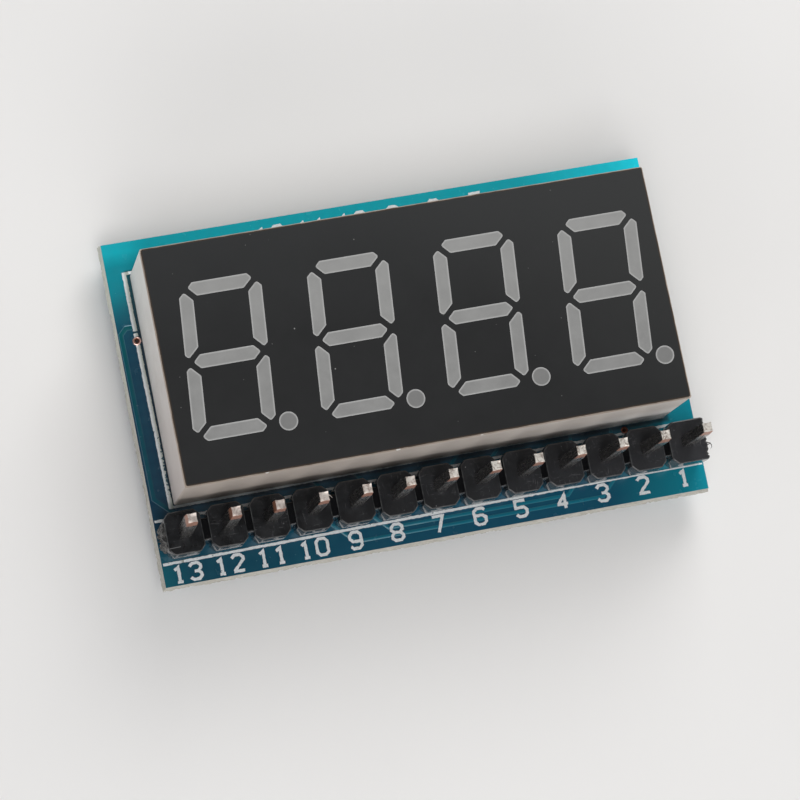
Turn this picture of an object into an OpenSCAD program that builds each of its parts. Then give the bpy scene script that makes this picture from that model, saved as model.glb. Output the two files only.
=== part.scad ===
// Four-digit seven segment display module: a reflector-type LED display and a
// thirteen-pin header soldered to a small board, with its drivers on the back.
// +X runs along the board, +Y towards the display's top, +Z out of the face.
// The origin is under the middle of the board, at the ends of the leads.

/* [Leads] */
// Length of every lead past the back of the board
tail_len = 1.4; // [1.2:0.1:3]

/* [Board] */
// Thickness of the board over both solder masks
board_t = 1.6; // [1:0.1:2.4]
// Thickness of the web left between the V-grooves at the edge
web_t = 0.6; // [0.3:0.1:0.7]
// How far the snapped web stands out past the faces
web_out = 0.15; // [0.05:0.05:0.3]
// Space between the header's end and the board's end
header_end_gap = 0.12; // [0.02:0.01:1]
// Least space between the display's end and the board's end
display_end_gap = 1; // [0.8:0.05:3]
// Space between the display and the board's top edge
display_top_gap = 2; // [1.8:0.1:4]
// Space between the header's plastic and the display
display_gap = 0.68; // [0.66:0.02:3]
// Distance from the header's row to the board's bottom edge
header_edge = 2.75; // [2.75:0.05:5]

/* [Copper and coatings] */
// Thickness of the copper
copper_t = 0.035; // [0.02:0.005:0.07]
// Thickness of the solder mask over the copper
mask_cover = 0.02; // [0.01:0.005:0.04]
// Thickness of the printed ink
ink_t = 0.02; // [0.01:0.005:0.04]
// Thickness of the copper in a plated hole
plating_t = 0.04; // [0.02:0.01:0.06]
// Gap in the mask around a pad
mask_gap = 0.05; // [0.02:0.01:0.08]
// Width of a signal trace
trace_w = 0.16; // [0.1:0.02:0.2]
// Width of the supply trace
supply_w = 0.35; // [0.25:0.05:0.45]
// Diameter of a via's pad
via_pad_d = 0.54; // [0.5:0.02:0.62]
// Diameter of a via's drilled hole
via_drill = 0.34; // [0.3:0.02:0.4]

/* [Silkscreen] */
// Width of a printed line
ink_w = 0.16; // [0.1:0.01:0.2]
// Width of the printed line beside the display
display_ink_w = 0.25; // [0.15:0.01:0.3]
// Height of a printed number, on its centre lines
number_h = 0.96; // [0.8:0.02:0.98]
// Width of a printed number, on its centre lines
number_w = 0.66; // [0.5:0.02:0.7]
// Width of a printed number's strokes
number_ink_w = 0.18; // [0.12:0.01:0.2]
// Space between the header's plastic and the printed line around it
header_ink_gap = 0.02; // [0.01:0.01:0.06]
// Space between the display's left end and the printed line beside it
display_ink_gap = 0.22; // [0.14:0.02:0.4]

/* [Header] */
// Distance from pin to pin
pitch = 2.54; // [2.5:0.01:2.6]
// Width of one block along the row
block_w = 2.16; // [1.9:0.02:2.3]
// Depth of one block across the row
block_d = 2.54; // [2.3:0.02:2.6]
// Height of one block
block_h = 2.54; // [2:0.02:3]
// Cut across each upright corner of a block
block_chamfer = 0.36; // [0.3:0.02:0.6]
// Width of the web that joins the blocks
joint_w = 1.3; // [1:0.05:1.5]
// How far the web lies below the blocks' top
joint_drop = 0.3; // [0.1:0.05:0.6]
// How far the torn web stands out past the row's ends
torn_out = 0.2; // [0.05:0.05:0.25]
// Side of a square pin
pin_side = 0.64; // [0.55:0.01:0.7]
// Length of pin above the plastic
mating_len = 5; // [4:0.1:8]
// Cut across each edge of a pin's lower end
pin_chamfer = 0.06; // [0.02:0.01:0.1]
// Length of a pin's tapered tip
tip_len = 1.2; // [0.6:0.1:1.6]
// How far each side of the tip slopes in
tip_in = 0.05; // [0.02:0.01:0.1]
// Space between a pin's corner and its plated hole
pin_clearance = 0.03; // [0.02:0.01:0.1]
// Width of the ring of copper around a hole
ring_w = 0.35; // [0.25:0.01:0.4]

/* [Display body] */
// Sideways offset of the display on the board
display_x = -0.2; // [-0.5:0.1:0.5]
// Space beside the first and the last digit cell
face_end = 0.05; // [0:0.05:1]
// Space above and below the digits
face_rim = 2.4; // [2:0.05:3]
// Thickness of the housing's side walls
wall_t = 0.9; // [0.6:0.05:1.2]
// Radius of the housing's upright corners
corner_r = 0.12; // [0.08:0.02:0.5]
// Thickness of the black face film
film_t = 0.1; // [0.05:0.01:0.2]
// Depth of the segment wells
well_depth = 3; // [2:0.1:4]
// Space between the wells and the inner board
led_gap = 0.2; // [0.15:0.05:0.5]
// Thickness of the inner board
inner_board_t = 0.8; // [0.6:0.1:1.2]
// Thickness of the epoxy behind the inner board
slab_t = 2.5; // [1:0.1:4]
// How far the epoxy stays above the housing's foot
back_recess = 0.4; // [0.2:0.05:1]
// Space around the inner board
inner_gap = 0.3; // [0.1:0.05:0.5]
// Distance from the inner board's edge to its leads
lead_edge = 0.72; // [0.5:0.02:1]
// Diameter of a display lead
lead_d = 0.5; // [0.4:0.02:0.6]
// Space between a display lead and its plated hole
lead_clearance = 0.09; // [0.03:0.01:0.12]
// Number of leads in each row
leads_per_row = 6; // [4:1:6]

/* [Digits] */
// Number of digits
digit_count = 4; // [3:1:4]
// Distance from digit to digit
digit_pitch = 7.5; // [7.2:0.1:9]
// Height of a digit
digit_h = 9.2; // [8:0.1:10]
// Width of a digit, before it is slanted
digit_w = 4.84; // [4.4:0.02:5]
// Slant of the digits
slant = 5; // [0:1:8]
// Width of a segment
segment_w = 0.82; // [0.6:0.02:1]
// Gap between two segments
segment_gap = 0.33; // [0.2:0.01:0.5]
// How far a segment's middle point lies inside the digit's side
middle_inset = 0.22; // [0.1:0.01:0.4]
// Cut at the outer corner of the side segments, at mid-height
middle_cut = 0.46; // [0.3:0.01:0.6]
// Rounding of a segment's corners
segment_r = 0.12; // [0.05:0.01:0.15]
// Diameter of a decimal point
point_d = 1.1; // [0.8:0.02:1.2]
// Distance from the digit's side to its decimal point's centre
point_reach = 0.7; // [0.6:0.02:0.9]
// Height of the decimal point's centre above the digit's foot
point_rise = 0.34; // [0:0.02:0.6]

/* [LED dies] */
// Side of a die
die_side = 0.26; // [0.2:0.01:0.3]
// Height of a die
die_h = 0.12; // [0.08:0.01:0.14]
// Thickness of a bond wire
wire_t = 0.03; // [0.02:0.005:0.05]
// Reach of a bond wire from its die
wire_reach = 0.45; // [0.35:0.01:0.5]

/* [Chip resistors] */
// Length of a chip resistor
chip_len = 1.6; // [1.4:0.05:1.8]
// Width of a chip resistor
chip_w = 0.8; // [0.6:0.05:1]
// Height of a chip resistor
chip_h = 0.45; // [0.3:0.05:0.6]
// Length of a chip resistor's end cap
cap_len = 0.3; // [0.2:0.05:0.4]
// How far an end cap stands out of the ceramic
cap_out = 0.02; // [0.01:0.01:0.04]

/* [Transistors] */
// Length of a transistor's body
body_len = 2.9; // [2.6:0.05:3.1]
// Width of a transistor's body
body_w = 1.3; // [1.1:0.05:1.4]
// Height of a transistor's body
body_h = 0.95; // [0.8:0.05:1]
// Slope of a transistor's sides, taken off each edge
body_draft = 0.12; // [0.05:0.01:0.2]
// Height of a transistor's body above the board
body_lift = 0.08; // [0.05:0.01:0.15]
// Width of a transistor's leg
leg_w = 0.42; // [0.35:0.01:0.5]
// Thickness of a transistor's leg
leg_t = 0.12; // [0.08:0.01:0.18]
// Length of a leg beyond the body
leg_reach = 0.55; // [0.45:0.01:0.7]
// Length of a leg's foot
foot_len = 0.3; // [0.25:0.01:0.35]
// Distance between the two paired legs
leg_pitch = 1.9; // [1.7:0.05:2]

/* [Solder] */
// How far a joint climbs a lead
joint_h = 0.75; // [0.5:0.05:1]
// How far a pad reaches past a small part's terminal
pad_toe = 0.35; // [0.25:0.05:0.45]
// How far a pad reaches past a small part's sides
pad_side = 0.05; // [0.02:0.01:0.1]

/* [Hidden] */
$fn = 32;
// A cut passes a face it must not leave by a hair, and every other by more
hair = 0.01;
over = 1;

// Heights, from the lead ends up
z_back = tail_len;
z_front = z_back + board_t;
mask_t = copper_t + mask_cover;
z_core_low = z_back + mask_t;
z_core_high = z_front - mask_t;
z_block = z_front + block_h;
z_pin = z_block + mating_len;
z_slab = z_front + back_recess;
z_inner = z_slab + slab_t;
z_dies = z_inner + inner_board_t;
z_wells = z_dies + led_gap;
z_film = z_wells + well_depth;
z_face = z_film + film_t;

// Plan sizes and places
display_len = digit_count * digit_pitch + 2 * face_end;
display_wid = digit_h + 2 * face_rim;
// The header fills the board's edge below the display, and has at least a pin
// for the supply, for each digit and for each segment
segment_count = 8;
header_fit = ceil((display_len + 2 * (abs(display_x) + display_end_gap - header_end_gap)) / pitch);
header_count = max(1 + digit_count + segment_count, header_fit);
header_mid = floor(header_count / 2);
header_len = header_count * pitch;
board_len = header_len + 2 * header_end_gap;
board_wid = header_edge + block_d / 2 + display_gap + display_wid + display_top_gap;
header_y = header_edge - board_wid / 2;
display_y = board_wid / 2 - display_top_gap - display_wid / 2;
cavity = [display_len - 2 * wall_t, display_wid - 2 * wall_t];
inner_board = [cavity[0] - 2 * inner_gap, cavity[1] - 2 * inner_gap];
lead_y = inner_board[1] / 2 - lead_edge;

// Holes and their rings
pin_hole_r = pin_side / sqrt(2) + pin_clearance;
lead_hole_r = lead_d / 2 + lead_clearance;
via_hole_r = via_drill / 2 - plating_t;
pin_ring_r = pin_hole_r + plating_t + ring_w;
lead_ring_r = lead_hole_r + plating_t + ring_w;
via_ring_r = via_pad_d / 2;

function pin_x(i) = (i - (header_count + 1) / 2) * pitch;
function digit_x(i) = display_x + (i - (digit_count + 1) / 2) * digit_pitch;
function lead_at(i) = let (lower = i <= leads_per_row)
    [display_x + (lower ? i - 1 : 2 * leads_per_row - i) * pitch - (leads_per_row - 1) * pitch / 2,
     display_y + (lower ? -lead_y : lead_y)];

pins = [for (i = [1:header_count]) [pin_x(i), header_y]];
leads = [for (i = [1:2 * leads_per_row]) lead_at(i)];
gap_y = header_y + block_d / 2 + display_gap / 2;
// One via beside the display's end and one between the display and the header
via_rise = 3;
via_gap = 0.05;
via_back = 0.43;
vias = [[display_x - display_len / 2 - via_pad_d / 2 - via_gap, display_y + via_rise],
        [pin_x(header_count - 1) - via_back, gap_y]];

// Small parts on the back: a row of transistors, their base resistors, and the
// segment resistors, between the two rows of display leads
resistor_count = segment_count + digit_count;
transistor_rise = 2.2;
base_drop = 0.5;
segment_drop = 2.4;
transistor_y = display_y + transistor_rise;
base_y = display_y - base_drop;
segment_y = display_y - segment_drop;
function resistor_at(i) = i <= segment_count
    ? [display_x + (i - (segment_count + 1) / 2) * pitch, segment_y]
    : [digit_x(i - segment_count), base_y];
pad_len = cap_len + pad_toe;
chip_pad_x = chip_len / 2 - cap_len + pad_len / 2;
foot_y = body_w / 2 + leg_reach;
foot_pad_len = foot_len + pad_toe;
leg_spots = [[-leg_pitch / 2, -1], [leg_pitch / 2, -1], [0, 1]];

// ---- Outlines -------------------------------------------------------------

function unit(v) = v / norm(v);
function left_of(v) = [-v[1], v[0]];
function turned(list) = [for (i = [len(list) - 1:-1:0]) list[i]];

// One side of a band of width w along a path, with mitred turns
function band_side(path, w, side) = [
    for (i = [0:len(path) - 1])
        let (before = unit(path[max(i, 1)] - path[max(i, 1) - 1]),
             last = len(path) - 2,
             after = unit(path[min(i, last) + 1] - path[min(i, last)]),
             across = unit(left_of(before) + left_of(after)))
        path[i] + side * across * w / 2 / (across * left_of(after))];
function band(path, w) = concat(band_side(path, w, 1), turned(band_side(path, w, -1)));

// The outline's corner at b, between a and c, as an arc of radius r
function corner(a, b, c, r, steps) =
    let (u = unit(a - b), v = unit(c - b), half = acos(u * v) / 2,
         centre = b + unit(u + v) * r / sin(half),
         from = b + u * r / tan(half) - centre,
         to = b + v * r / tan(half) - centre,
         start = atan2(from[1], from[0]),
         raw = atan2(to[1], to[0]) - start,
         sweep = raw > 180 ? raw - 360 : raw < -180 ? raw + 360 : raw)
    [for (k = [0:steps]) centre + r * [cos(start + sweep * k / steps), sin(start + sweep * k / steps)]];
function rounded(list, r, steps) = [
    for (i = [0:len(list) - 1])
        each corner(list[(i + len(list) - 1) % len(list)], list[i], list[(i + 1) % len(list)], r, steps)];

function flipped(list, fx, fy) = [for (p = list) [p[0] * fx, p[1] * fy]];
function slanted(p) = [p[0] + tan(slant) * p[1], p[1]];
function slanted_all(list) = [for (p = list) slanted(p)];

module rounded_box(size, r, h) {
    linear_extrude(h) polygon(rounded(
        [[-size[0], -size[1]] / 2, [size[0], -size[1]] / 2, size / 2, [-size[0], size[1]] / 2], r, 6));
}

module block(size, h) {
    translate([-size[0] / 2, -size[1] / 2, 0]) cube([size[0], size[1], h]);
}

module at(list) {
    for (p = list) translate([p[0], p[1], 0]) children();
}

// ---- Segments -------------------------------------------------------------

half_w = digit_w / 2;
half_h = digit_h / 2;
shift = segment_gap / sqrt(2);
diagonal = half_h - half_w;
tip = half_w + half_h - segment_w;
middle = half_w - middle_inset;

top_end = [[tip - half_h, half_h],
           [(tip - diagonal - shift) / 2, (tip + diagonal + shift) / 2],
           [half_h - segment_w - diagonal - shift, half_h - segment_w]];
top_segment = concat(top_end, turned(flipped(top_end, -1, 1)));
side_segment = [[half_w - segment_w, half_w - segment_w + diagonal - shift],
                [(tip - diagonal + shift) / 2, (tip + diagonal - shift) / 2],
                [half_w, tip - half_w],
                [half_w, middle_cut],
                [(middle + shift + half_w - middle_cut) / 2, (middle + shift - half_w + middle_cut) / 2],
                [half_w - segment_w, middle + shift - half_w + segment_w]];
middle_end = [[middle - shift - segment_w / 2, segment_w / 2],
              [middle - shift, 0],
              [middle - shift - segment_w / 2, -segment_w / 2]];
middle_segment = concat(middle_end, turned(flipped(middle_end, -1, 1)));
segments = [top_segment, side_segment, flipped(side_segment, 1, -1), flipped(top_segment, 1, -1),
            flipped(side_segment, -1, -1), flipped(side_segment, -1, 1), middle_segment];
point_at = slanted([half_w + point_reach, point_rise - half_h]);

// Where each die lies in its segment, and whether the segment runs upright
point_die_back = 0.2;
side_mid = (tip - half_w + middle_cut) / 2;
die_spots = [[[0, half_h - segment_w / 2], 0],
             [[half_w - segment_w / 2, side_mid], 1],
             [[half_w - segment_w / 2, -side_mid], 1],
             [[0, segment_w / 2 - half_h], 0],
             [[segment_w / 2 - half_w, -side_mid], 1],
             [[segment_w / 2 - half_w, side_mid], 1],
             [[0, 0], 0]];

// Every segment and decimal point as a straight column of height h
module segment_columns(h) {
    for (d = [1:digit_count]) translate([digit_x(d), display_y, 0]) {
        for (s = segments) linear_extrude(h) polygon(rounded(slanted_all(s), segment_r, 2));
        translate([point_at[0], point_at[1], 0]) cylinder(d = point_d, h = h);
    }
}

module at_dies() {
    for (d = [1:digit_count]) translate([digit_x(d), display_y, 0]) {
        for (s = die_spots)
            let (p = slanted(s[0]))
            translate([p[0], p[1], 0]) rotate(s[1] * (90 - slant)) children();
        translate([point_at[0] - point_die_back, point_at[1], 0]) children();
    }
}

// ---- Board ----------------------------------------------------------------

// A column at every header pin, display lead and via
module holes(pin_r, lead_r, via_r, h) {
    at(pins) cylinder(r = pin_r, h = h);
    at(leads) cylinder(r = lead_r, h = h);
    at(vias) cylinder(r = via_r, h = h);
}

// Section of the snapped edge: the faces, the grooves' slopes and the web
function edge_section(size) =
    let (f = size / 2, w = size / 2 + web_out, mid = (z_back + z_front) / 2)
    [[-f, z_core_low], [f, z_core_low], [w, mid - web_t / 2], [w, mid + web_t / 2],
     [f, z_core_high], [-f, z_core_high], [-w, mid + web_t / 2], [-w, mid - web_t / 2]];

module circuit_board() {
    long = board_len + 2 * over;
    color("tan") difference() {
        intersection() {
            rotate([90, 0, 0]) translate([0, 0, -long / 2])
                linear_extrude(long) polygon(edge_section(board_len));
            rotate([90, 0, 90]) translate([0, 0, -long / 2])
                linear_extrude(long) polygon(edge_section(board_wid));
        }
        holes(pin_hole_r + plating_t, lead_hole_r + plating_t, via_hole_r + plating_t, z_front + over);
    }
}

// Openings in the mask and the ink around every ring
module ring_openings(z) {
    translate([0, 0, z - over])
        holes(pin_ring_r + mask_gap, lead_ring_r + mask_gap, via_ring_r, 2 * over);
}

module front_solder_mask() {
    color("teal") difference() {
        translate([0, 0, z_core_high]) block([board_len, board_wid], mask_t);
        ring_openings(z_front);
        front_traces();
    }
}

module back_solder_mask() {
    color("teal") difference() {
        translate([0, 0, z_back]) block([board_len, board_wid], mask_t);
        ring_openings(z_back);
        from_back() at_pads(mask_gap, over);
        back_traces();
    }
}

// Barrel of a plated hole with its ring on each face
module barrel(hole_r, ring_r) {
    low = z_core_low - copper_t;
    high = z_core_high + copper_t;
    out = hole_r + plating_t;
    rotate_extrude() polygon([[hole_r, low], [ring_r, low], [ring_r, z_core_low], [out, z_core_low],
                              [out, z_core_high], [ring_r, z_core_high], [ring_r, high], [hole_r, high]]);
}

module plated_holes() {
    color("goldenrod") {
        at(pins) barrel(pin_hole_r, pin_ring_r);
        at(leads) barrel(lead_hole_r, lead_ring_r);
        at(vias) barrel(via_hole_r, via_ring_r);
    }
}

// ---- Traces ---------------------------------------------------------------

// The supply starts under the display, runs down the left margin and turns in
// to the first pin
supply_margin = 0.33;
supply_rise = 3.9;
supply_bend = 0.5;
supply_low = 2.5;
display_left = display_x - display_len / 2;
margin_x = supply_margin - board_len / 2;
supply_y = display_y + supply_rise;
supply_path = [[display_left + supply_bend, supply_y], [margin_x + supply_bend, supply_y],
               [margin_x, supply_y - supply_bend], [margin_x, header_y + supply_low],
               [pins[0][0], header_y + supply_low - (pins[0][0] - margin_x)], pins[0]];

// Two lines come from under the display, pass between pins, run along under the
// header and turn back up between two other pins
strip_in = header_mid - 1;
strip_out = header_mid + 4;
strip_start = 1.3;
strip_knee = 0.8;
strip_drop = 0.36;
strip_step = 0.46;
function strip_path(k) =
    let (x_in = pin_x(strip_in - k) + pitch / 2, x_out = pin_x(strip_out + k) + pitch / 2,
         y = header_y - block_d / 2 - strip_drop - k * strip_step, knee = header_y - strip_knee)
    [[x_in - strip_start, header_y + 2 * strip_start], [x_in, header_y + strip_start], [x_in, knee],
     [x_in + knee - y, y], [x_out - knee + y, y], [x_out, knee], [x_out, display_y - lead_y]];

// The last two leads of the lower row run slantwise to two pins in the middle
function lead_path(k) =
    let (lead = leads[leads_per_row - 1 - k], pin = pins[header_mid + 1 - k])
    [lead, [lead[0], pin[1] + lead[0] - pin[0]], pin];
right_path = [vias[1], vias[1] + [via_back, via_back], [vias[1][0] + via_back, display_y]];

module front_trace_bands() {
    polygon(band(supply_path, supply_w));
    for (k = [0, 1]) polygon(band(strip_path(k), trace_w));
    for (k = [0, 1]) polygon(band(lead_path(k), trace_w));
    polygon(band(right_path, trace_w));
}

module front_traces() {
    difference() {
        translate([0, 0, z_core_high]) linear_extrude(copper_t) front_trace_bands();
        ring_keepouts(z_core_high);
    }
}

module ring_keepouts(z) {
    translate([0, 0, z - over]) holes(pin_ring_r, lead_ring_r, via_ring_r, 2 * over);
}

module front_copper() {
    color("peru") front_traces();
}

// ---- Back of the board ----------------------------------------------------

// Children are built upwards on the back face, as seen with X unchanged
module from_back() {
    translate([0, 0, z_back]) mirror([0, 0, 1]) children();
}

// Every pad of the small parts, grown by extra, as a slab around the copper
module at_pads(extra, h) {
    for (i = [1:resistor_count]) translate([resistor_at(i)[0], resistor_at(i)[1], -h])
        rotate(i <= segment_count ? 90 : 0) for (s = [-1, 1]) translate([s * chip_pad_x, 0, 0])
            block([pad_len + 2 * extra, chip_w + 2 * pad_side + 2 * extra], 2 * h);
    for (d = [1:digit_count]) translate([digit_x(d), transistor_y, -h])
        for (s = leg_spots) translate([s[0], s[1] * (foot_y - foot_len + foot_pad_len / 2), 0])
            block([leg_w + 2 * pad_side + 2 * extra, foot_pad_len + 2 * extra], 2 * h);
}

module copper_layer() {
    translate([0, 0, -mask_t]) linear_extrude(copper_t) children();
}

// Each base resistor feeds its transistor, whose other leg takes a supply line
function base_path(d) = let (x = digit_x(d))
    [[x - chip_pad_x, base_y], [x - leg_pitch / 2, base_y + leg_pitch / 2 - chip_pad_x],
     [x - leg_pitch / 2, transistor_y - foot_y]];
supply_line_gap = 0.25;
supply_line_y = transistor_y + foot_y + supply_line_gap;
supply_line = [[digit_x(1), supply_line_y], [digit_x(digit_count), supply_line_y]];
// Each segment resistor feeds the lead beside it, and the two outer ones a pin
outer_pin = header_mid - segment_count / 2;
function segment_feed(i) =
    let (p = resistor_at(i), low = display_y - lead_y, outer = i == 1 || i == segment_count,
         target = pins[i == 1 ? outer_pin : header_count - 1 - outer_pin])
    outer ? [p, [p[0], low], [target[0], low - abs(target[0] - p[0])], target]
          : [p, [p[0], low]];

module back_trace_bands() {
    for (d = [1:digit_count]) polygon(band(base_path(d), trace_w));
    for (i = [1:segment_count]) polygon(band(segment_feed(i), trace_w));
    polygon(band(supply_line, supply_w));
}

module back_traces() {
    difference() {
        from_back() copper_layer() back_trace_bands();
        ring_keepouts(z_back);
        from_back() at_pads(0, over);
    }
}

module back_copper() {
    color("peru") {
        back_traces();
        from_back() intersection() {
            at_pads(0, over);
            translate([0, 0, -mask_t]) block([board_len, board_wid], copper_t);
        }
    }
}

module chip() {
    translate([0, 0, cap_out]) block([chip_len - 2 * cap_out, chip_w - 2 * cap_out], chip_h - 2 * cap_out);
    for (s = [-1, 1]) translate([s * (chip_len - cap_len) / 2, 0, 0]) block([cap_len, chip_w], chip_h);
}

module resistor(i) {
    color("dimgray") from_back() translate([resistor_at(i)[0], resistor_at(i)[1], 0])
        rotate(i <= segment_count ? 90 : 0) chip();
}

// Section of the moulded body across one side, with sloping walls
function body_section(size) =
    let (f = size / 2, mid = body_lift + body_h / 2, top = body_lift + body_h)
    [[-f + body_draft, body_lift], [f - body_draft, body_lift], [f, mid],
     [f - body_draft, top], [-f + body_draft, top], [-f, mid]];

// A leg from the body's middle down to its foot
leg_path = let (mid = body_lift + body_h / 2, knee = body_w / 2 + leg_reach - foot_len)
    [[0, mid], [knee - leg_t, mid], [knee, leg_t / 2], [foot_y, leg_t / 2]];

module transistor(d) {
    color("dimgray") from_back() translate([digit_x(d), transistor_y, 0]) {
        intersection() {
            rotate([90, 0, 0]) translate([0, 0, -body_w]) linear_extrude(2 * body_w)
                polygon(body_section(body_len));
            rotate([90, 0, 90]) translate([0, 0, -body_len]) linear_extrude(2 * body_len)
                polygon(body_section(body_w));
        }
        for (s = leg_spots) translate([s[0], 0, 0]) mirror([0, s[1] < 0 ? 1 : 0, 0])
            translate([-leg_w / 2, 0, 0]) rotate([90, 0, 90]) linear_extrude(leg_w)
                polygon(band(leg_path, leg_t));
    }
}

// Solder under a terminal and up its end, drawn with the end face at x = 0
fillet_rim = 0.05;
chip_climb = 0.8;
module fillet(under, climb, width) {
    translate([0, width / 2, 0]) rotate([90, 0, 0]) linear_extrude(width)
        polygon([[-under, -mask_cover], [pad_toe - fillet_rim, -mask_cover], [pad_toe / 2, climb / 3],
                 [0, climb], [0, 0], [-under, 0]]);
}

module smd_solder() {
    color("silver") from_back() {
        for (i = [1:resistor_count]) translate([resistor_at(i)[0], resistor_at(i)[1], 0])
            rotate(i <= segment_count ? 90 : 0) for (a = [0, 180]) rotate(a)
                translate([chip_len / 2, 0, 0]) fillet(cap_len, chip_h * chip_climb, chip_w);
        for (d = [1:digit_count]) translate([digit_x(d), transistor_y, 0])
            for (s = leg_spots) translate([s[0], s[1] * foot_y, 0]) rotate(s[1] * 90)
                fillet(foot_len - fillet_rim, leg_t, leg_w);
    }
}

// ---- Silkscreen -----------------------------------------------------------

// Strokes of the digits 0 to 9 on a grid four wide and six high
grid = [4, 6];
strokes = [
    [[[2, 0], [1, 0], [0, 1], [0, 5], [1, 6], [2, 6]], [[2, 6], [3, 6], [4, 5], [4, 1], [3, 0], [2, 0]]],
    [[[0.8, 4.6], [2.2, 5.5], [2.2, 0]], [[1.2, 0], [3.2, 0]]],
    [[[0, 5], [1, 6], [3, 6], [4, 5], [4, 4], [0.4, 0.2]], [[0, 0], [4, 0]]],
    [[[0, 5], [1, 6], [3, 6], [4, 5], [4, 4], [3, 3], [1.6, 3]],
     [[3, 3], [4, 2], [4, 1], [3, 0], [1, 0], [0, 1]]],
    [[[3, 0], [3, 5], [0.4, 1.8]], [[0, 1.7], [4, 1.7]]],
    [[[3.8, 6], [0, 6], [0, 3.4], [3, 3.4], [4, 2.5], [4, 1], [3, 0], [1, 0], [0, 1]]],
    [[[4, 5.2], [3.2, 6], [1, 6], [0, 5], [0, 1], [1, 0], [3, 0], [4, 1], [4, 2.4], [3, 3.4], [0.6, 3.4]],
     [[0, 3.4], [1, 3.4]]],
    [[[0, 6], [3.8, 6], [1.6, 0]]],
    [[[2, 3], [1, 3], [0, 4], [0, 5], [1, 6], [2, 6]], [[2, 6], [3, 6], [4, 5], [4, 4], [3, 3], [2, 3]],
     [[2, 3], [3, 3], [4, 2], [4, 1], [3, 0], [2, 0]], [[2, 0], [1, 0], [0, 1], [0, 2], [1, 3], [2, 3]]],
    [[[0, 0.8], [0.8, 0], [3, 0], [4, 1], [4, 5], [3, 6], [1, 6], [0, 5], [0, 3.6], [1, 2.6], [3.4, 2.6]],
     [[3, 2.6], [4, 2.6]]]];

module printed_digit(d) {
    for (s = strokes[d])
        polygon(band([for (p = s) [(p[0] - grid[0] / 2) * number_w / grid[0],
                                   (p[1] - grid[1] / 2) * number_h / grid[1]]], number_ink_w));
}

module printed_number(n) {
    step = number_w + 2 * number_ink_w;
    if (n < 10) printed_digit(n);
    else {
        translate([-step / 2, 0]) printed_digit(floor(n / 10));
        translate([step / 2, 0]) printed_digit(n % 10);
    }
}

part_ink_gap = 0.3;
ink_margin = 0.08;
number_margin = 0.12;
top_margin = 0.45;
number_y = number_margin + (number_h + number_ink_w - board_wid) / 2;
top_number_y = (board_wid - number_h - number_ink_w) / 2 - top_margin;
header_ink_y = block_d / 2 + header_ink_gap + ink_w / 2;
header_ink_len = board_len - 2 * ink_margin;
display_ink = [display_len / 2 + display_ink_gap, display_wid / 2 + header_ink_gap];

// Two lines along the header's long sides
module header_ink() {
    translate([0, header_y]) for (s = [-1, 1])
        translate([0, s * header_ink_y]) square([header_ink_len, ink_w], center = true);
}

// Lines around the display but for its right end, the wider one at its left end
module display_frame() {
    length = display_len / 2 + display_ink[0];
    outer = display_ink + [display_ink_w, ink_w];
    translate([display_x, display_y]) difference() {
        translate(-outer) square([length + display_ink_w, 2 * outer[1]]);
        translate(-display_ink) square([length + over, 2 * display_ink[1]]);
    }
}

module front_ink() {
    header_ink();
    display_frame();
    for (i = [1:header_count]) translate([pin_x(i), number_y]) printed_number(header_count + 1 - i);
    for (i = [leads_per_row + 1:2 * leads_per_row])
        translate([lead_at(i)[0], top_number_y]) printed_number(i);
}

module back_ink() {
    header_ink();
    for (d = [1:digit_count]) translate([digit_x(d), transistor_y]) for (s = [-1, 1])
        translate([s * (body_len / 2 + part_ink_gap) - ink_w / 2, -body_w / 2]) square([ink_w, body_w]);
    for (i = [1:segment_count]) translate(resistor_at(i)) for (s = [-1, 1])
        translate([s * (chip_w / 2 + part_ink_gap) - ink_w / 2, -chip_len / 2]) square([ink_w, chip_len]);
}

module silkscreen() {
    color("white") {
        difference() {
            translate([0, 0, z_front]) linear_extrude(ink_t) front_ink();
            ring_openings(z_front);
        }
        difference() {
            from_back() linear_extrude(ink_t) back_ink();
            ring_openings(z_back);
        }
    }
}

// ---- Display --------------------------------------------------------------

module display_housing() {
    color("whitesmoke") difference() {
        translate([display_x, display_y, z_front])
            rounded_box([display_len, display_wid], corner_r, z_film - z_front);
        translate([display_x, display_y, z_front - over]) block(cavity, z_wells - z_front + over);
        translate([0, 0, z_wells - over]) segment_columns(well_depth + 2 * over);
    }
}

module face_film() {
    color("black") difference() {
        translate([display_x, display_y, z_film]) rounded_box([display_len, display_wid], corner_r, film_t);
        translate([0, 0, z_film - over]) segment_columns(film_t + 2 * over);
    }
}

module inner_shape() {
    translate([display_x, display_y, z_inner]) block(inner_board, inner_board_t);
}

// The wire rises from the die, arches over and lands on the inner board
wire_rise = 0.12;
wire_path = [[0, die_h], [0, die_h + wire_rise], [wire_reach / 3, die_h + wire_rise + wire_t * 2],
             [wire_reach, wire_rise], [wire_reach, 0]];

module wire() {
    translate([0, wire_t / 2, 0]) rotate([90, 0, 0])
        linear_extrude(wire_t) polygon(band(wire_path, wire_t));
}

module die() {
    block([die_side, die_side], die_h);
}

module epoxy_fill() {
    color("lightgray") difference() {
        union() {
            translate([display_x, display_y, z_slab]) block(cavity, z_wells - z_slab);
            translate([0, 0, z_wells - led_gap / 2]) segment_columns(well_depth + led_gap / 2);
        }
        inner_shape();
        translate([0, 0, z_slab - over]) at(leads) cylinder(d = lead_d, h = slab_t + over + hair);
        translate([0, 0, z_dies]) at_dies() {
            translate([0, 0, -hair]) block([die_side, die_side], die_h + hair);
            wire();
        }
    }
}

module display_board() {
    color("darkgreen") difference() {
        inner_shape();
        translate([0, 0, z_inner - over]) at(leads) cylinder(d = lead_d, h = inner_board_t + 2 * over);
    }
}

module led_dies() {
    color("gold") translate([0, 0, z_dies]) at_dies() die();
}

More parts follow.
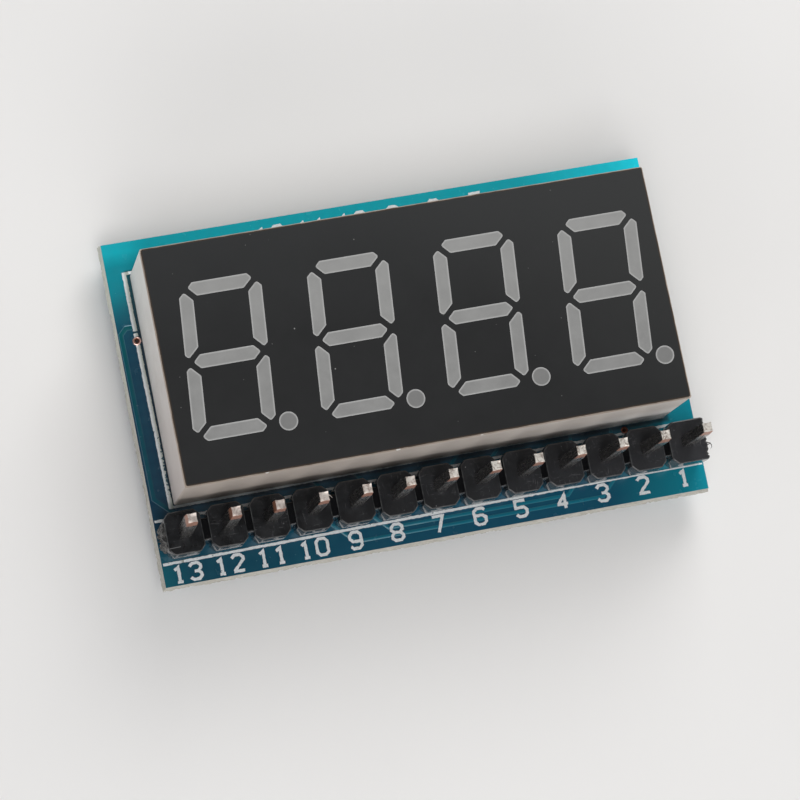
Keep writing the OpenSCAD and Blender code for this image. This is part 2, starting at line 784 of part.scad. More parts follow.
module bond_wires() {
    color("gold") translate([0, 0, z_dies]) at_dies() wire();
}

module display_pin(i) {
    color("silver") translate([leads[i - 1][0], leads[i - 1][1], 0]) cylinder(d = lead_d, h = z_dies);
}

// ---- Header ---------------------------------------------------------------

module header_block() {
    x = block_w / 2;
    y = block_d / 2;
    c = block_chamfer;
    linear_extrude(block_h) polygon([[-x + c, -y], [x - c, -y], [x, -y + c], [x, y - c],
                                     [x - c, y], [-x + c, y], [-x, y - c], [-x, -y + c]]);
}

module header_strip() {
    color("black") translate([0, header_y, z_front]) difference() {
        union() {
            block([header_len + 2 * torn_out, joint_w], block_h - joint_drop);
            for (i = [1:header_count]) translate([pin_x(i), 0, 0]) header_block();
        }
        for (i = [1:header_count]) translate([pin_x(i), 0, -over])
            block([pin_side, pin_side], block_h + 2 * over);
    }
}

// Section of a square pin, with its lower edges cut and its tip tapered
function pin_section() =
    let (s = pin_side / 2, c = pin_chamfer, taper = z_pin - tip_len)
    [[-s + c, 0], [s - c, 0], [s, c], [s, taper],
     [s - tip_in, z_pin], [-s + tip_in, z_pin], [-s, taper], [-s, c]];

module header_pin(i) {
    color("silver") translate([pin_x(i), header_y, 0]) intersection() {
        rotate([90, 0, 0]) translate([0, 0, -over]) linear_extrude(2 * over) polygon(pin_section());
        rotate([90, 0, 90]) translate([0, 0, -over]) linear_extrude(2 * over) polygon(pin_section());
    }
}

// ---- Joints of the leads --------------------------------------------------

// Solder that fills a hole of radius hole_r and flares out on its back ring
joint_rim = 0.05;
joint_waist = 0.35;
module joint(hole_r, ring_r, lead_r) {
    low = z_back + mask_cover;
    flare = ring_r - joint_rim;
    rotate_extrude() polygon([[0, z_back - joint_h], [lead_r + joint_rim, z_back - joint_h],
                              [lead_r + (flare - lead_r) * joint_waist, low - joint_h / 2],
                              [flare, low - joint_rim], [flare, low], [hole_r, low],
                              [hole_r, z_front - mask_cover], [0, z_front - mask_cover]]);
}

module header_solder() {
    color("silver") difference() {
        at(pins) joint(pin_hole_r, pin_ring_r, pin_side / sqrt(2));
        at(pins) block([pin_side, pin_side], z_front + over);
    }
}

module display_solder() {
    color("silver") difference() {
        at(leads) joint(lead_hole_r, lead_ring_r, lead_d / 2);
        at(leads) cylinder(d = lead_d, h = z_front + over);
    }
}

// ---- Assembly -------------------------------------------------------------

circuit_board();
front_solder_mask();
back_solder_mask();
silkscreen();
front_copper();
back_copper();
plated_holes();
display_housing();
face_film();
epoxy_fill();
display_board();
led_dies();
bond_wires();
for (i = [1:2 * leads_per_row])
    display_pin(i);
header_strip();
for (i = [1:header_count])
    header_pin(i);
for (i = [1:resistor_count])
    resistor(i);
for (i = [1:digit_count])
    transistor(i);
header_solder();
display_solder();
smd_solder();
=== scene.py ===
"""Four-digit seven segment display module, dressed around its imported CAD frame.

Lengths here are in millimetres, in the frame of the CAD model, and become
metres where a mesh or a light is made.
"""

import math

import bmesh
import bpy
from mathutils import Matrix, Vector, noise
from mathutils.geometry import tessellate_polygon


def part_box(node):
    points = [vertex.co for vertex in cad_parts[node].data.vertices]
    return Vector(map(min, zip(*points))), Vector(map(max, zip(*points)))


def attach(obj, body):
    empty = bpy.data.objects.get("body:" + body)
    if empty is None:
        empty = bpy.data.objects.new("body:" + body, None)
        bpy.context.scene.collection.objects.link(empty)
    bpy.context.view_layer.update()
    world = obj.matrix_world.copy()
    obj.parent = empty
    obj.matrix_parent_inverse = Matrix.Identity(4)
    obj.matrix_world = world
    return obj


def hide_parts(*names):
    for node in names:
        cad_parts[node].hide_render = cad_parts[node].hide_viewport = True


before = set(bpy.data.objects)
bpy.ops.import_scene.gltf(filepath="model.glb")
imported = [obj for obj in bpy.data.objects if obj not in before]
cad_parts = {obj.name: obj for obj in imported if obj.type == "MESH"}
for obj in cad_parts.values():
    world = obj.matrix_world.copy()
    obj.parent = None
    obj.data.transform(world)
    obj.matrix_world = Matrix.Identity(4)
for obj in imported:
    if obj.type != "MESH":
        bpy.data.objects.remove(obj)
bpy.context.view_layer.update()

MM = 0.001
scene = bpy.context.scene
FOLDED = math.radians(35)
FOLDED_PIN = math.radians(28)


def box(node):
    """Lowest and highest corner of a CAD node, in millimetres."""
    low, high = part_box(node)
    return Vector(low) / MM, Vector(high) / MM


def plan(node):
    """Middle and half size of a CAD node, seen from above."""
    low, high = box(node)
    return ((low + high) / 2).to_2d(), ((high - low) / 2).to_2d()


def fbm(x, y, z=0):
    """Smooth noise of several scales, about -1 to 1."""
    return noise.fractal(Vector((x, y, z)), 0.9, 2.1, 4, noise_basis="PERLIN_ORIGINAL")


def wave(x, y, z):
    """Smooth noise of one scale, about -1 to 1."""
    return noise.noise(Vector((x, y, z)))


# ---- Places ----

BOARD_LOW, BOARD_HIGH = box("circuit_board")
FACE = box("front_solder_mask")[1]
Z_FRONT = FACE.z
Z_BACK = box("back_solder_mask")[0].z
Z_BLOCK = box("header_strip")[1].z
Z_TIP = box("header_pin_1")[1].z
FILM_LOW, FILM_HIGH = box("face_film")
DISPLAY, FILM_HALF = plan("face_film")
HEADER_Y = plan("header_pin_1")[0].y
PIN_XS = [plan(f"header_pin_{i}")[0].x for i in range(1, 14)]
PITCH = PIN_XS[1] - PIN_XS[0]
LEADS = [plan(f"display_pin_{i}")[0] for i in range(1, 13)]
LEAD_Y = LEADS[0].y
DIGITS = [plan(f"transistor_{d}")[0].x for d in range(1, 5)]
SEGMENTS = [plan(f"resistor_{i}")[0].x for i in range(1, 9)]
SEGMENT_Y = plan("resistor_1")[0].y
BASE_Y = plan("resistor_9")[0].y
VIAS = [Vector((-15.57, 4.35)), Vector((12.27, -5.99))]
PIN_HOLE_R = 0.52
LEAD_HOLE_R = 0.38
VIA_HOLE_R = 0.17
TRACE = 0.16

# One block of the header, how far its foot is drawn in, and the web between blocks.
BLOCK = Vector((1.08, 1.27))
CORNER = 0.34
DRAFT = 0.1
DRAFT_HEIGHT = 1.2
BLOCK_EDGE = 0.07
WEB_HALF, WEB_DROP = 0.65, 0.3
BLOCK_FRONT_Y = HEADER_Y - BLOCK.y + DRAFT

# The print's lines, how far they turn for each millimetre, and how far they are moved.
FRAME_Y = FILM_LOW.y - 0.1
LOWER_LINE_Y = HEADER_Y - 1.37
TURN = 0.0105
HEADER_TURN = 0.008
LINE_SHIFT = 0.02
LINE_TOP = 6
UPPER_DROP, LOWER_DROP = 0.19, 0.03
BESIDE_X = -15.3


# ---- Camera ----

LENS = 150.8
EYE = Vector((-37.61, -29.7, 197.03))
EYE_ANGLES = (10.008, -8.933, -11.521)


def add_object(name, data):
    made = bpy.data.objects.new(name, data)
    scene.collection.objects.link(made)
    return made


def add_camera():
    data = bpy.data.cameras.new("camera")
    data.lens = LENS
    data.sensor_width = 36
    data.clip_start = 0.01
    data.clip_end = 20
    camera = add_object("camera", data)
    camera.location = EYE * MM
    camera.rotation_euler = [math.radians(a) for a in EYE_ANGLES]
    scene.camera = camera


# ---- Materials ----

def through(operation):
    """A method that puts one value or two through a Math node."""
    def apply(self, other=0):
        return self.finish.node("Math", {0: self, 1: other}, operation=operation)
    return apply


class Value:
    """A node's output, written in sums as a number is. a | b is the larger of two."""

    def __init__(self, finish, socket):
        self.finish = finish
        self.socket = socket

    __add__ = through("ADD")
    __sub__ = through("SUBTRACT")
    __mul__ = through("MULTIPLY")
    __or__ = through("MAXIMUM")
    __gt__ = through("GREATER_THAN")
    __lt__ = through("LESS_THAN")
    __abs__ = through("ABSOLUTE")

    def range(self, low, high, to_low=0, to_high=1):
        return self.finish.node("MapRange", {"Value": self, "From Min": low, "From Max": high,
                                             "To Min": to_low, "To Max": to_high})

    def spread(self, low, high):
        """The range in which a noise mostly lies, carried over to low and high."""
        return self.range(0.3, 0.7, low, high)


class Finish:
    """A short way to write a node material. Textures take places in millimetres."""

    def __init__(self, name, specular=0.5, **settings):
        self.material = bpy.data.materials.new(name)
        self.material.use_nodes = True
        self.tree = self.material.node_tree
        self.shader = self.tree.nodes["Principled BSDF"]
        self.place = self.node("VectorMath", {0: self.node("TexCoord", {}, "Object"),
                                              "Scale": 1 / MM}, operation="SCALE")
        self.x, self.y, self.z = (self.node("SeparateXYZ", {0: self.place}, k) for k in range(3))
        self.set("Specular IOR Level", specular)
        for socket, value in settings.items():
            self.set(socket, value)

    def node(self, kind, inputs, output=0, **properties):
        made = self.tree.nodes.new("ShaderNode" + kind)
        for key, value in properties.items():
            setattr(made, key, value)
        for key, value in inputs.items():
            self.feed(made.inputs[key], value)
        return Value(self, made.outputs[output])

    def feed(self, socket, value):
        if isinstance(value, Value):
            self.tree.links.new(value.socket, socket)
        elif socket.type == "RGBA":
            grey = isinstance(value, float)
            socket.default_value = (value, value, value, 1) if grey else (*value, 1)
        else:
            socket.default_value = value

    def set(self, socket, value):
        self.feed(self.shader.inputs[socket], value)

    def noise(self, scale, detail=3, rough=0.55, bend=0, stretch=None):
        place = self.place
        if stretch:
            place = self.node("VectorMath", {0: place, 1: stretch}, operation="MULTIPLY")
        return self.node("TexNoise", {"Vector": place, "Scale": scale, "Detail": detail,
                                      "Roughness": rough, "Distortion": bend})

    def cells(self, scale):
        return self.node("TexVoronoi", {"Vector": self.place, "Scale": scale})

    def facing(self, name, normal="Normal"):
        return self.node("SeparateXYZ", {0: self.node("NewGeometry", {}, normal)}, name)

    def attribute(self, name):
        return self.node("Attribute", {}, "Fac", attribute_name=name)

    def past_film(self):
        """How far a place lies outside the film's outline, below zero on the film."""
        return (abs(self.x - DISPLAY.x) - FILM_HALF.x) | (abs(self.y - DISPLAY.y) - FILM_HALF.y)

    def mix(self, factor, a, b):
        return self.node("Mix", {"Factor": factor, "A": a, "B": b}, "Result", data_type="RGBA")

    def coat(self, factor, colour):
        """Lays a colour over those before it, as far as the factor says."""
        self.tone = self.mix(factor, self.tone, colour)

    def close(self, roughness, *layers):
        """Ends the material. Each bump is a height from 0 to 1 and its depth in millimetres."""
        self.set("Base Color", self.tone)
        self.set("Roughness", roughness)
        below = {}
        for height, depth in layers:
            bump = self.node("Bump", {"Distance": depth * MM, "Height": height, **below})
            below = {"Normal": bump}
        self.set("Normal", bump)
        return self.material


def mask_finish(name, deep, backlit, cloth_depth=0.001, margin_shadow_tone=(0.006, 0.036, 0.07),
                glint=False):
    """Solder mask: deep blue, as over copper, turned teal at the board's ends and upper part by
    painted backlight, with painted shade and painted highlights in places.
    """
    f = Finish(name, specular=0.38)
    x, y = f.x, f.y
    cloud = f.noise(0.16, 3)
    fine = f.noise(1.6, 2)
    weave = {"Vector": f.place, "Scale": 0.42, "Distortion": 0.6, "Detail": 1}
    across, along = (f.node("TexWave", weave, bands_direction=way) for way in "XY")
    cloth = (across + along) * 0.5
    bands = y.range(3, 8.5) | y.range(-7, -9.5)
    # Painted backlight: the mask turns teal towards the board's ends and across its upper part,
    # with some random mottle.
    backlit_ends = x.range(10.5, 17.5) | x.range(-14.8, -19.5) * bands
    painted_light_drift = (backlit_ends | y.range(4.6, 7.2, 0, 0.8)) + cloud.spread(-0.06, 0.06)
    f.tone = f.mix(painted_light_drift, deep, backlit)
    front = f.facing("Z") > 0
    # Painted shade: the left margin beside the display darkens, most towards the front.
    margin_shadow = x.range(-14, -15.5) * (front - bands)
    f.coat(margin_shadow * y.range(3.5, -2, 0.62, 0.9), margin_shadow_tone)
    if glint:
        # Painted highlight: trace slopes left of the display that face -X or +Y are made paler.
        highlight_slopes = (f.facing("X", "True Normal").range(-0.1, -0.2, 0, 0.13)
                   | f.facing("Y", "True Normal").range(0.22, 0.27))
        f.coat(highlight_slopes * (x < -15.5), (0.3, 0.5, 0.6))
    # Painted backlight: the right end of the board is paler and bluer.
    f.coat(x.range(10, 17, 0, 0.5), f.mix(painted_light_drift, deep, (0.004, 0.27, 0.38)))
    # Painted shadow of the header: the strip below it darkens towards the left.
    f.coat(x.range(2, -14, 0, 0.35) * y.range(-7, -9), (0.006, 0.055, 0.065))
    # Painted backlight: a bright teal band along the top edge, brightest at the right.
    lit = y.range(8.9, 9.8) * front
    f.coat(lit, (0.006, 0.375, 0.45))
    f.coat(lit * x.range(9, 16.8), (0.012, 0.68, 0.82))
    f.coat(cloth.range(0.2, 0.9, 0, 0.06), (0.02, 0.16, 0.2))
    f.coat(f.cells(0.9).range(0.02, 0.035, 0.35, 0), (0.1, 0.26, 0.29))
    # Painted shadow: the mask darkens in a band round the display housing's foot.
    f.coat(f.past_film().range(0.34, 0.16, 0, 0.75) * front, (0.012, 0.016, 0.022))
    return f.close(fine.spread(0.2, 0.28), (cloth, cloth_depth), (cloud, 0.004))


def laminate_finish():
    """Broken glass cloth and resin, with pale torn fibres in layers."""
    f = Finish("laminate", specular=0.3)
    layers = f.noise(1, 4, 0.6, stretch=(1.6, 1.6, 9))
    threads = f.noise(7, 5, 0.7, stretch=(1, 1, 3))
    torn = f.noise(14, 4, 0.7)
    f.tone = f.mix(layers.range(0.35, 0.65), (0.35, 0.33, 0.285), (0.47, 0.455, 0.41))
    f.coat(threads.range(0.5, 0.72), (0.6, 0.59, 0.56))
    f.coat(torn.range(0.62, 0.78, 0, 0.5), (0.2, 0.175, 0.14))
    # Painted light: the left edge is paler towards the back.
    f.coat(f.x.range(-15.5, -16.5) * f.y.range(-2, 8) * 0.55, (0.66, 0.7, 0.62))
    return f.close(torn.spread(0.65, 0.95), (layers, 0.03), (threads, 0.02), (torn, 0.01))


def ink_finish():
    """Matte printed ink, thin and worn beside the display, with painted shade there and along the
    display's front foot.
    """
    f = Finish("ink", specular=0.3)
    x, y = f.x, f.y
    grain = f.noise(9, 4, 0.65)
    cloud = f.noise(1.2, 3)
    chips = f.noise(5.5, 4, 0.7)
    beside = x < BESIDE_X
    unturned = x + y.range(LINE_TOP, -LINE_TOP, -LINE_SHIFT, -LINE_SHIFT - TURN * 2 * LINE_TOP)
    f.tone = f.mix(grain.range(0.35, 0.7), (0.7, 0.72, 0.73), (0.86, 0.88, 0.89))
    f.coat(cloud.range(0.4, 0.7, 0, 0.35), (0.64, 0.69, 0.68))
    # Painted shadow: the print darkens along the display's front foot.
    foot = y.range(-6, -5.9) * y.range(-5.4, -5.6) * (f.facing("Z") > -0.5)
    f.coat(foot * x.range(-15.7, -15.3, 0, 0.62), (0.16, 0.18, 0.18))
    # Painted shade: the print beside the display is darker, its half nearest the housing darker
    # and greener.
    f.coat(beside * 0.25, (0.45, 0.48, 0.48))
    f.coat(unturned.range(-15.66, -15.5, 0, 0.66) * beside, (0.23, 0.255, 0.19))
    worn = y.range(-0.5, -2.2) * y.range(-5.6, -4.4) * unturned.range(-15.66, -15.5) * beside
    split = abs(y - (VIAS[0].y + 0.52)).range(0.09, 0.03) * beside
    f.coat(chips + (worn * 0.22 + split * 0.5) > 0.68, (0.01, 0.05, 0.075))
    return f.close(grain.spread(0.55, 0.8), (grain, 0.008), (cloud, 0.006))


def metal_finish(name, colour, dull, roughness=(0.22, 0.4), grain=(1, 1, 0.15), dirt=0.5):
    """Plated or tinned metal with drawn streaks along one direction."""
    f = Finish(name, Metallic=1)
    streaks = f.noise(9, 4, 0.65, stretch=grain)
    pits = f.noise(16, 3, 0.6)
    cloud = f.noise(1.7, 3, 0.6)
    f.tone = f.mix(cloud.range(0.4, 0.75, 0, dirt), colour, dull)
    f.coat(streaks.range(0.55, 0.8, 0, 0.4), dull)
    return f.close(streaks.spread(*roughness), (streaks, 0.006), (pits, 0.003))


def pin_finish():
    """Tinned pin whose brass core shows on the tapered tip's lower faces, with painted shade
    towards the left end of the row.
    """
    f = Finish("header_pin")
    streaks = f.noise(9, 4, 0.65, stretch=(1, 1, 0.1))
    pits = f.noise(9, 4, 0.7)
    marks = f.noise(4.5, 3, 0.7, bend=0.8)
    f.tone = f.mix(streaks.range(0.4, 0.7), (0.36, 0.35, 0.34), (0.22, 0.21, 0.205))
    # Painted shade: the tin darkens towards the left end of the row.
    f.coat(f.x.range(-3, -11, 0, 0.75), (0.085, 0.078, 0.072))
    brass = f.mix(pits.range(0.35, 0.7), (0.4, 0.17, 0.1), (0.22, 0.085, 0.05))
    cut = f.mix(marks.range(0.46, 0.62), (0.8, 0.76, 0.7), (0.34, 0.28, 0.24))
    # Painted shade: the cut ends darken and warm towards the left.
    cut = f.mix(f.x.range(3, -10, 0, 0.55), cut, (0.4, 0.31, 0.28))
    near_tip = f.z + pits.spread(-0.25, 0.25) > Z_TIP - 0.99
    west = (f.facing("X") < -0.6) * (f.x < -9)
    side = ((f.facing("Y") < -0.6) | west) * near_tip
    up = f.facing("Z") > 0.55
    f.coat(side, brass)
    f.coat(up, cut)
    f.set("Metallic", (side | up).range(0, 1, 0.98, 0.6))
    roughness = streaks.spread(0.2, 0.32) + (side | up) * 0.12
    return f.close(roughness, (streaks, 0.0005), (pits, 0.0003))


def strip_finish():
    """Moulded black plastic, glossy and faintly rubbed on top, with painted light on the tops, a
    painted highlight on the top edges and painted shade on the webs.
    """
    f = Finish("header_plastic", specular=0.42)
    x, y = f.x, f.y
    cloud = f.noise(0.9, 4, 0.6)
    fine = f.noise(9, 3, 0.6)
    scratch = f.noise(2.6, 5, 0.72, bend=0.7, stretch=(3, 0.5, 1))
    hair = f.noise(2, 5, 0.72, bend=1.4, stretch=(0.6, 2.6, 1))
    # Noise that breaks up the painted highlight on the top edges.
    worn = f.noise(2.2, 4, 0.65)
    up = f.facing("Z").range(0.6, 0.95)
    lines = scratch.range(0.57, 0.7) | hair.range(0.57, 0.7)
    scuff = lines * cloud.range(0.38, 0.58) * up
    # Painted light: the tops are lighter towards the right and the front, darker towards the back.
    painted_light_drift = x.range(-12, 16)
    f.tone = f.mix(painted_light_drift, (0.0095, 0.0098, 0.0105), (0.0275, 0.0275, 0.0295))
    f.coat(y.range(-8.8, -6.6, 0, 0.3), (0.01, 0.01, 0.011))
    f.coat(painted_light_drift * y.range(-7.4, -8.6, 0, 0.5), (0.042, 0.043, 0.047))
    f.coat(cloud.range(0.42, 0.66, 0, 0.75), (0.028, 0.029, 0.032))
    f.coat(scuff * 0.42, (0.1, 0.1, 0.105))
    f.coat(f.cells(1.4).range(0.045, 0.025) * up * 0.7, 0.4)
    nick = abs(y - x * 0.03 + 7.93).range(0.024, 0.008, 0, 0.8) * (x < -15.6)
    f.coat(nick * up, 0.26)
    # Painted highlight along the rounded top edges, broken up by noise.
    f.coat(f.attribute("edge") * worn.range(0.4, 0.62, 0.15, 1) * 0.7, (0.1, 0.105, 0.105))
    # Painted shade: the recessed webs between the blocks are darker.
    shaded_web = (f.z < Z_BLOCK - WEB_DROP / 2) * up
    f.coat(shaded_web, (0.004, 0.004, 0.005))
    roughness = fine.spread(0.15, 0.2) + scuff * 0.25 - shaded_web * 0.08 + up.range(0, 1, -0.06, 0)
    return f.close(roughness, (cloud, 0.012), (fine, 0.0003), (lines, -0.002))


def torn_finish(name, pale, share):
    """The same plastic where it broke: stressed to a paler tone over a share of it."""
    f = Finish(name)
    tear = f.noise(2.6, 6, 0.68)
    grain = f.noise(8, 3, 0.6)
    flecks = f.noise(5.5, 5, 0.75, bend=0.8)
    stressed = tear.range(0.66 - 0.3 * share, 0.82 - 0.3 * share)
    f.tone = f.mix(stressed, 0.018, pale)
    f.coat(grain.range(0.6, 0.75, 0, 0.5), pale)
    f.coat(flecks.range(0.52, 0.44, 0, 0.85), 0.01)
    f.coat(flecks.range(0.6, 0.7), (0.42, 0.41, 0.38))
    return f.close(grain.spread(0.28, 0.5), (tear, 0.1), (grain, 0.02))


def housing_finish():
    """Moulded pale plastic with a faint drawn grain and handling marks, a brown band just below
    the film, and painted light, shade and warm reflected light on the west and south walls.
    """
    f = Finish("housing", specular=0.35)
    x, y, z = f.x, f.y, f.z
    cloud = f.noise(0.5, 4, 0.6)
    fine = f.noise(14, 3, 0.6)
    drawn = f.noise(2.2, 4, 0.6, stretch=(1, 1, 0.16))
    west = f.facing("X") < -0.5
    south = f.facing("Y") < -0.5
    f.tone = f.mix(cloud.range(0.35, 0.7), (0.6, 0.57, 0.54), (0.67, 0.645, 0.62))
    # Painted light and shade on the west wall: paler towards the back, darker and warmer towards
    # the front, the warmth a painted reflected light.
    f.coat(west * y.range(1, 8, 0, 0.5), (0.8, 0.83, 0.8))
    f.coat(west * y.range(2, -6, 0.05, 0.75), (0.45, 0.385, 0.36))
    # Painted shade with warm painted reflected light on the south wall, more towards the left, and
    # painted light at its foot on the right.
    f.coat(south * x.range(14, -10, 0.3, 0.65), (0.42, 0.345, 0.29))
    f.coat(south * z.range(7.5, 4.5) * x.range(7.5, 12.5), (0.9, 0.88, 0.85))
    f.coat(drawn.range(0.55, 0.8, 0, 0.25), (0.5, 0.455, 0.42))
    f.coat(z.range(FILM_LOW.z - 0.1, FILM_LOW.z - 0.03) * 0.55, (0.36, 0.24, 0.15))
    f.coat(f.cells(1).range(0.16, 0.1) * z.range(9.55, 9.75), (0.95, 0.95, 0.92))
    return f.close(fine.spread(0.46, 0.58), (drawn, 0.003), (fine, 0.0015))


def film_finish():
    """Black printed face, satin, with a few dust specks and faint rubs, a painted sheen towards
    the top and right, and a brown line along its edge.
    """
    f = Finish("film", specular=0.3)
    cloud = f.noise(0.35, 4, 0.6)
    fine = f.noise(22, 3, 0.6)
    rub = f.noise(1.4, 5, 0.7, bend=0.8, stretch=(0.6, 1.6, 1))
    dust = f.cells(0.62).range(0.03, 0.018)
    lint = f.cells(1.1).range(0.034, 0.022, 0, 0.35)
    f.tone = f.mix(cloud.range(0.35, 0.7), (0.0088, 0.0092, 0.0098), (0.012, 0.0125, 0.0132))
    # Painted sheen: the face is lighter towards the top right and towards the top.
    f.coat((f.x + f.y).range(4, 22), (0.0265, 0.0275, 0.0275))
    f.coat(f.y.range(2, 8, 0, 0.55), (0.025, 0.0265, 0.0275))
    f.coat(rub.range(0.64, 0.8, 0, 0.22), (0.034, 0.035, 0.035))
    f.coat(dust * 0.6 | lint, (0.42, 0.42, 0.41))
    # A patchy brown band along the film's edge.
    brown_rim = f.past_film().range(-0.15, -0.09) * fine.range(0.35, 0.6, 0.4, 1)
    f.coat(brown_rim, (0.055, 0.034, 0.02))
    return f.close(fine.spread(0.4, 0.52), (fine, 0.002), (cloud, 0.004))


def epoxy_finish():
    """Milky cast epoxy, paler where it climbs the sides of each window, with painted light making
    it lighter towards the top.
    """
    f = Finish("epoxy", specular=0.45)
    cloud = f.noise(0.8, 4, 0.6)
    fine = f.noise(6, 3, 0.6)
    f.tone = f.mix(cloud.spread(0, 1), (0.208, 0.208, 0.205), (0.262, 0.262, 0.257))
    # Painted light: the epoxy is lighter towards the top of the display.
    f.coat(f.y.range(-2.5, 6, 0.05, 0.5), (0.32, 0.32, 0.313))
    f.coat(f.attribute("round") * 0.6, (0.15, 0.15, 0.148))
    f.coat(f.attribute("rim"), (0.4, 0.4, 0.395))
    f.coat(f.cells(1.3).range(0.03, 0.018, 0, 0.35), 0.12)
    return f.close(fine.spread(0.34, 0.46), (cloud, 0.006), (fine, 0.001))


def plain_finish(name, pale, dark, scale, roughness, depth, **settings):
    """Two close tones of one substance, mottled at one scale."""
    f = Finish(name, **settings)
    mottle = f.noise(scale, 4, 0.6)
    f.tone = f.mix(mottle.range(0.35, 0.65), dark, pale)
    return f.close(mottle.spread(*roughness), (mottle, depth))


EVEN = (1, 1, 1)
MATERIALS = {
    "mask": mask_finish("solder_mask", (0.006, 0.074, 0.134), (0.004, 0.265, 0.318)),
    "trace": mask_finish("mask_on_copper", (0.008, 0.15, 0.22), (0.008, 0.25, 0.31), 0),
    # The supply trace's last colour is its painted shade beside the display.
    "supply": mask_finish("mask_on_supply", (0.004, 0.12, 0.125), (0.008, 0.22, 0.27), 0,
                          (0.001, 0.055, 0.087)),
    # Painted highlight: the trace slopes take a paler mask colour.
    "slope": mask_finish("mask_on_slopes_painted_highlight", (0.035, 0.175, 0.225), (0.05, 0.27, 0.33), 0,
                         glint=True),
    "laminate": laminate_finish(),
    "ink": ink_finish(),
    "copper": metal_finish("copper", (0.42, 0.17, 0.11), (0.18, 0.055, 0.035), (0.25, 0.45), EVEN),
    "rim": metal_finish("via_rim", (0.9, 0.62, 0.55), (0.55, 0.25, 0.2), (0.2, 0.35), EVEN),
    # Painted shade: a darker copy of the via copper for the right via.
    "shaded_rim": metal_finish("shaded_via_rim", (0.22, 0.045, 0.035), (0.1, 0.02, 0.015),
                             (0.3, 0.5), EVEN),
    "tin": metal_finish("tinned_lead", (0.66, 0.65, 0.62), (0.4, 0.38, 0.36)),
    "solder": metal_finish("solder", 0.72, (0.48, 0.48, 0.47), (0.12, 0.3),
                           EVEN, 0.3),
    "pin": pin_finish(),
    "strip": strip_finish(),
    "torn": torn_finish("torn_plastic", (0.14, 0.137, 0.13), 0.75),
    "cut": torn_finish("cut_plastic", 0.06, 0.5),
    "housing": housing_finish(),
    "film": film_finish(),
    "epoxy": epoxy_finish(),
    "inner": plain_finish("inner_board", (0.06, 0.2, 0.09), (0.04, 0.14, 0.06), 4,
                          (0.4, 0.6), 0.01),
    "die": plain_finish("die", (0.6, 0.12, 0.07), (0.4, 0.06, 0.04), 9, (0.15, 0.3), 0.004),
    "wire": plain_finish("wire", (0.9, 0.66, 0.28), (0.75, 0.5, 0.18), 30, (0.15, 0.3), 0.001,
                         Metallic=1),
    "ceramic": plain_finish("ceramic", (0.8, 0.79, 0.76), (0.62, 0.61, 0.58), 9,
                            (0.5, 0.7), 0.006),
    "glaze": plain_finish("resistor_glaze", (0.02, 0.02, 0.022), (0.012, 0.012, 0.014), 6,
                          (0.2, 0.35), 0.004),
    "resin": plain_finish("transistor_body", (0.022, 0.022, 0.023), (0.014, 0.014, 0.015), 11,
                          (0.45, 0.65), 0.01),
}


# ---- Making pieces ----

def piece(name, bm, materials, replaced=(), smooth=True):
    """Turns a bmesh drawn in millimetres into a piece that rides on the root."""
    bmesh.ops.scale(bm, vec=(MM,) * 3, verts=bm.verts)
    bmesh.ops.recalc_face_normals(bm, faces=bm.faces)
    mesh = bpy.data.meshes.new(name)
    bm.to_mesh(mesh)
    bm.free()
    for key in materials:
        mesh.materials.append(MATERIALS[key])
    if smooth:
        mesh.shade_smooth()
        mesh.set_sharp_from_angle(angle=FOLDED)
    made = add_object(name, mesh)
    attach(made, "root")
    if replaced:
        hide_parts(*replaced)
    return made


def from_node(node):
    """A CAD node's mesh as a bmesh in millimetres, with flat faces whole."""
    bm = bmesh.new()
    bm.from_mesh(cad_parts[node].data)
    bmesh.ops.scale(bm, vec=(1 / MM,) * 3, verts=bm.verts)
    bmesh.ops.remove_doubles(bm, verts=bm.verts, dist=1e-4)
    bmesh.ops.dissolve_limit(bm, angle_limit=math.radians(1), verts=bm.verts, edges=bm.edges)
    return bm


def split_edges(bm, chosen, step):
    """Divides the chosen edges into lengths of about step, leaving the faces whole."""
    for edge in [e for e in bm.edges if chosen(e)]:
        count = int(edge.calc_length() / step)
        start = edge.verts[0]
        for left in range(count, 0, -1):
            edge, vert = bmesh.utils.edge_split(edge, start, 1 / (left + 1))
            edge = next(e for e in vert.link_edges if e.other_vert(vert) is not start)
            start = vert


def add_loop(bm, points):
    return [bm.verts.new(p) for p in points]


def bridge(bm, low, high, material=0):
    """Quads between two closed loops of the same length."""
    count = len(low)
    for i in range(count):
        k = (i + 1) % count
        bm.faces.new((low[i], low[k], high[k], high[i])).material_index = material


def sheet(bm, rows):
    """Quads over a grid of vertices."""
    for low, high in zip(rows, rows[1:]):
        for i in range(len(low) - 1):
            bm.faces.new((low[i], low[i + 1], high[i + 1], high[i]))


def solid(bm, loops, material=0):
    """A closed solid through loops of the same length, with a cap at each end."""
    for low, high in zip(loops, loops[1:]):
        bridge(bm, low, high, material)
    for cap in (loops[0][::-1], loops[-1]):
        bm.faces.new(cap).material_index = material


def around(count):
    """Ways out from a centre, in equal turns."""
    turns = [2 * math.pi * k / count for k in range(count)]
    return [Vector((math.cos(a), math.sin(a))) for a in turns]


def lathe(bm, centre, profile, count=24, material=0, wobble=0, hollow=False):
    """A solid of revolution about +Z from (radius, z) pairs, with caps or round a hole."""
    loops = []
    for r, z in profile:
        ring = []
        for out in around(count):
            grown = r * (1 + wobble * fbm(*(centre + out), z))
            ring.append((*(centre + out * grown), z))
        loops.append(add_loop(bm, ring))
    if hollow:
        for low, high in zip(loops, loops[1:] + loops[:1]):
            bridge(bm, low, high, material)
    else:
        solid(bm, loops, material)


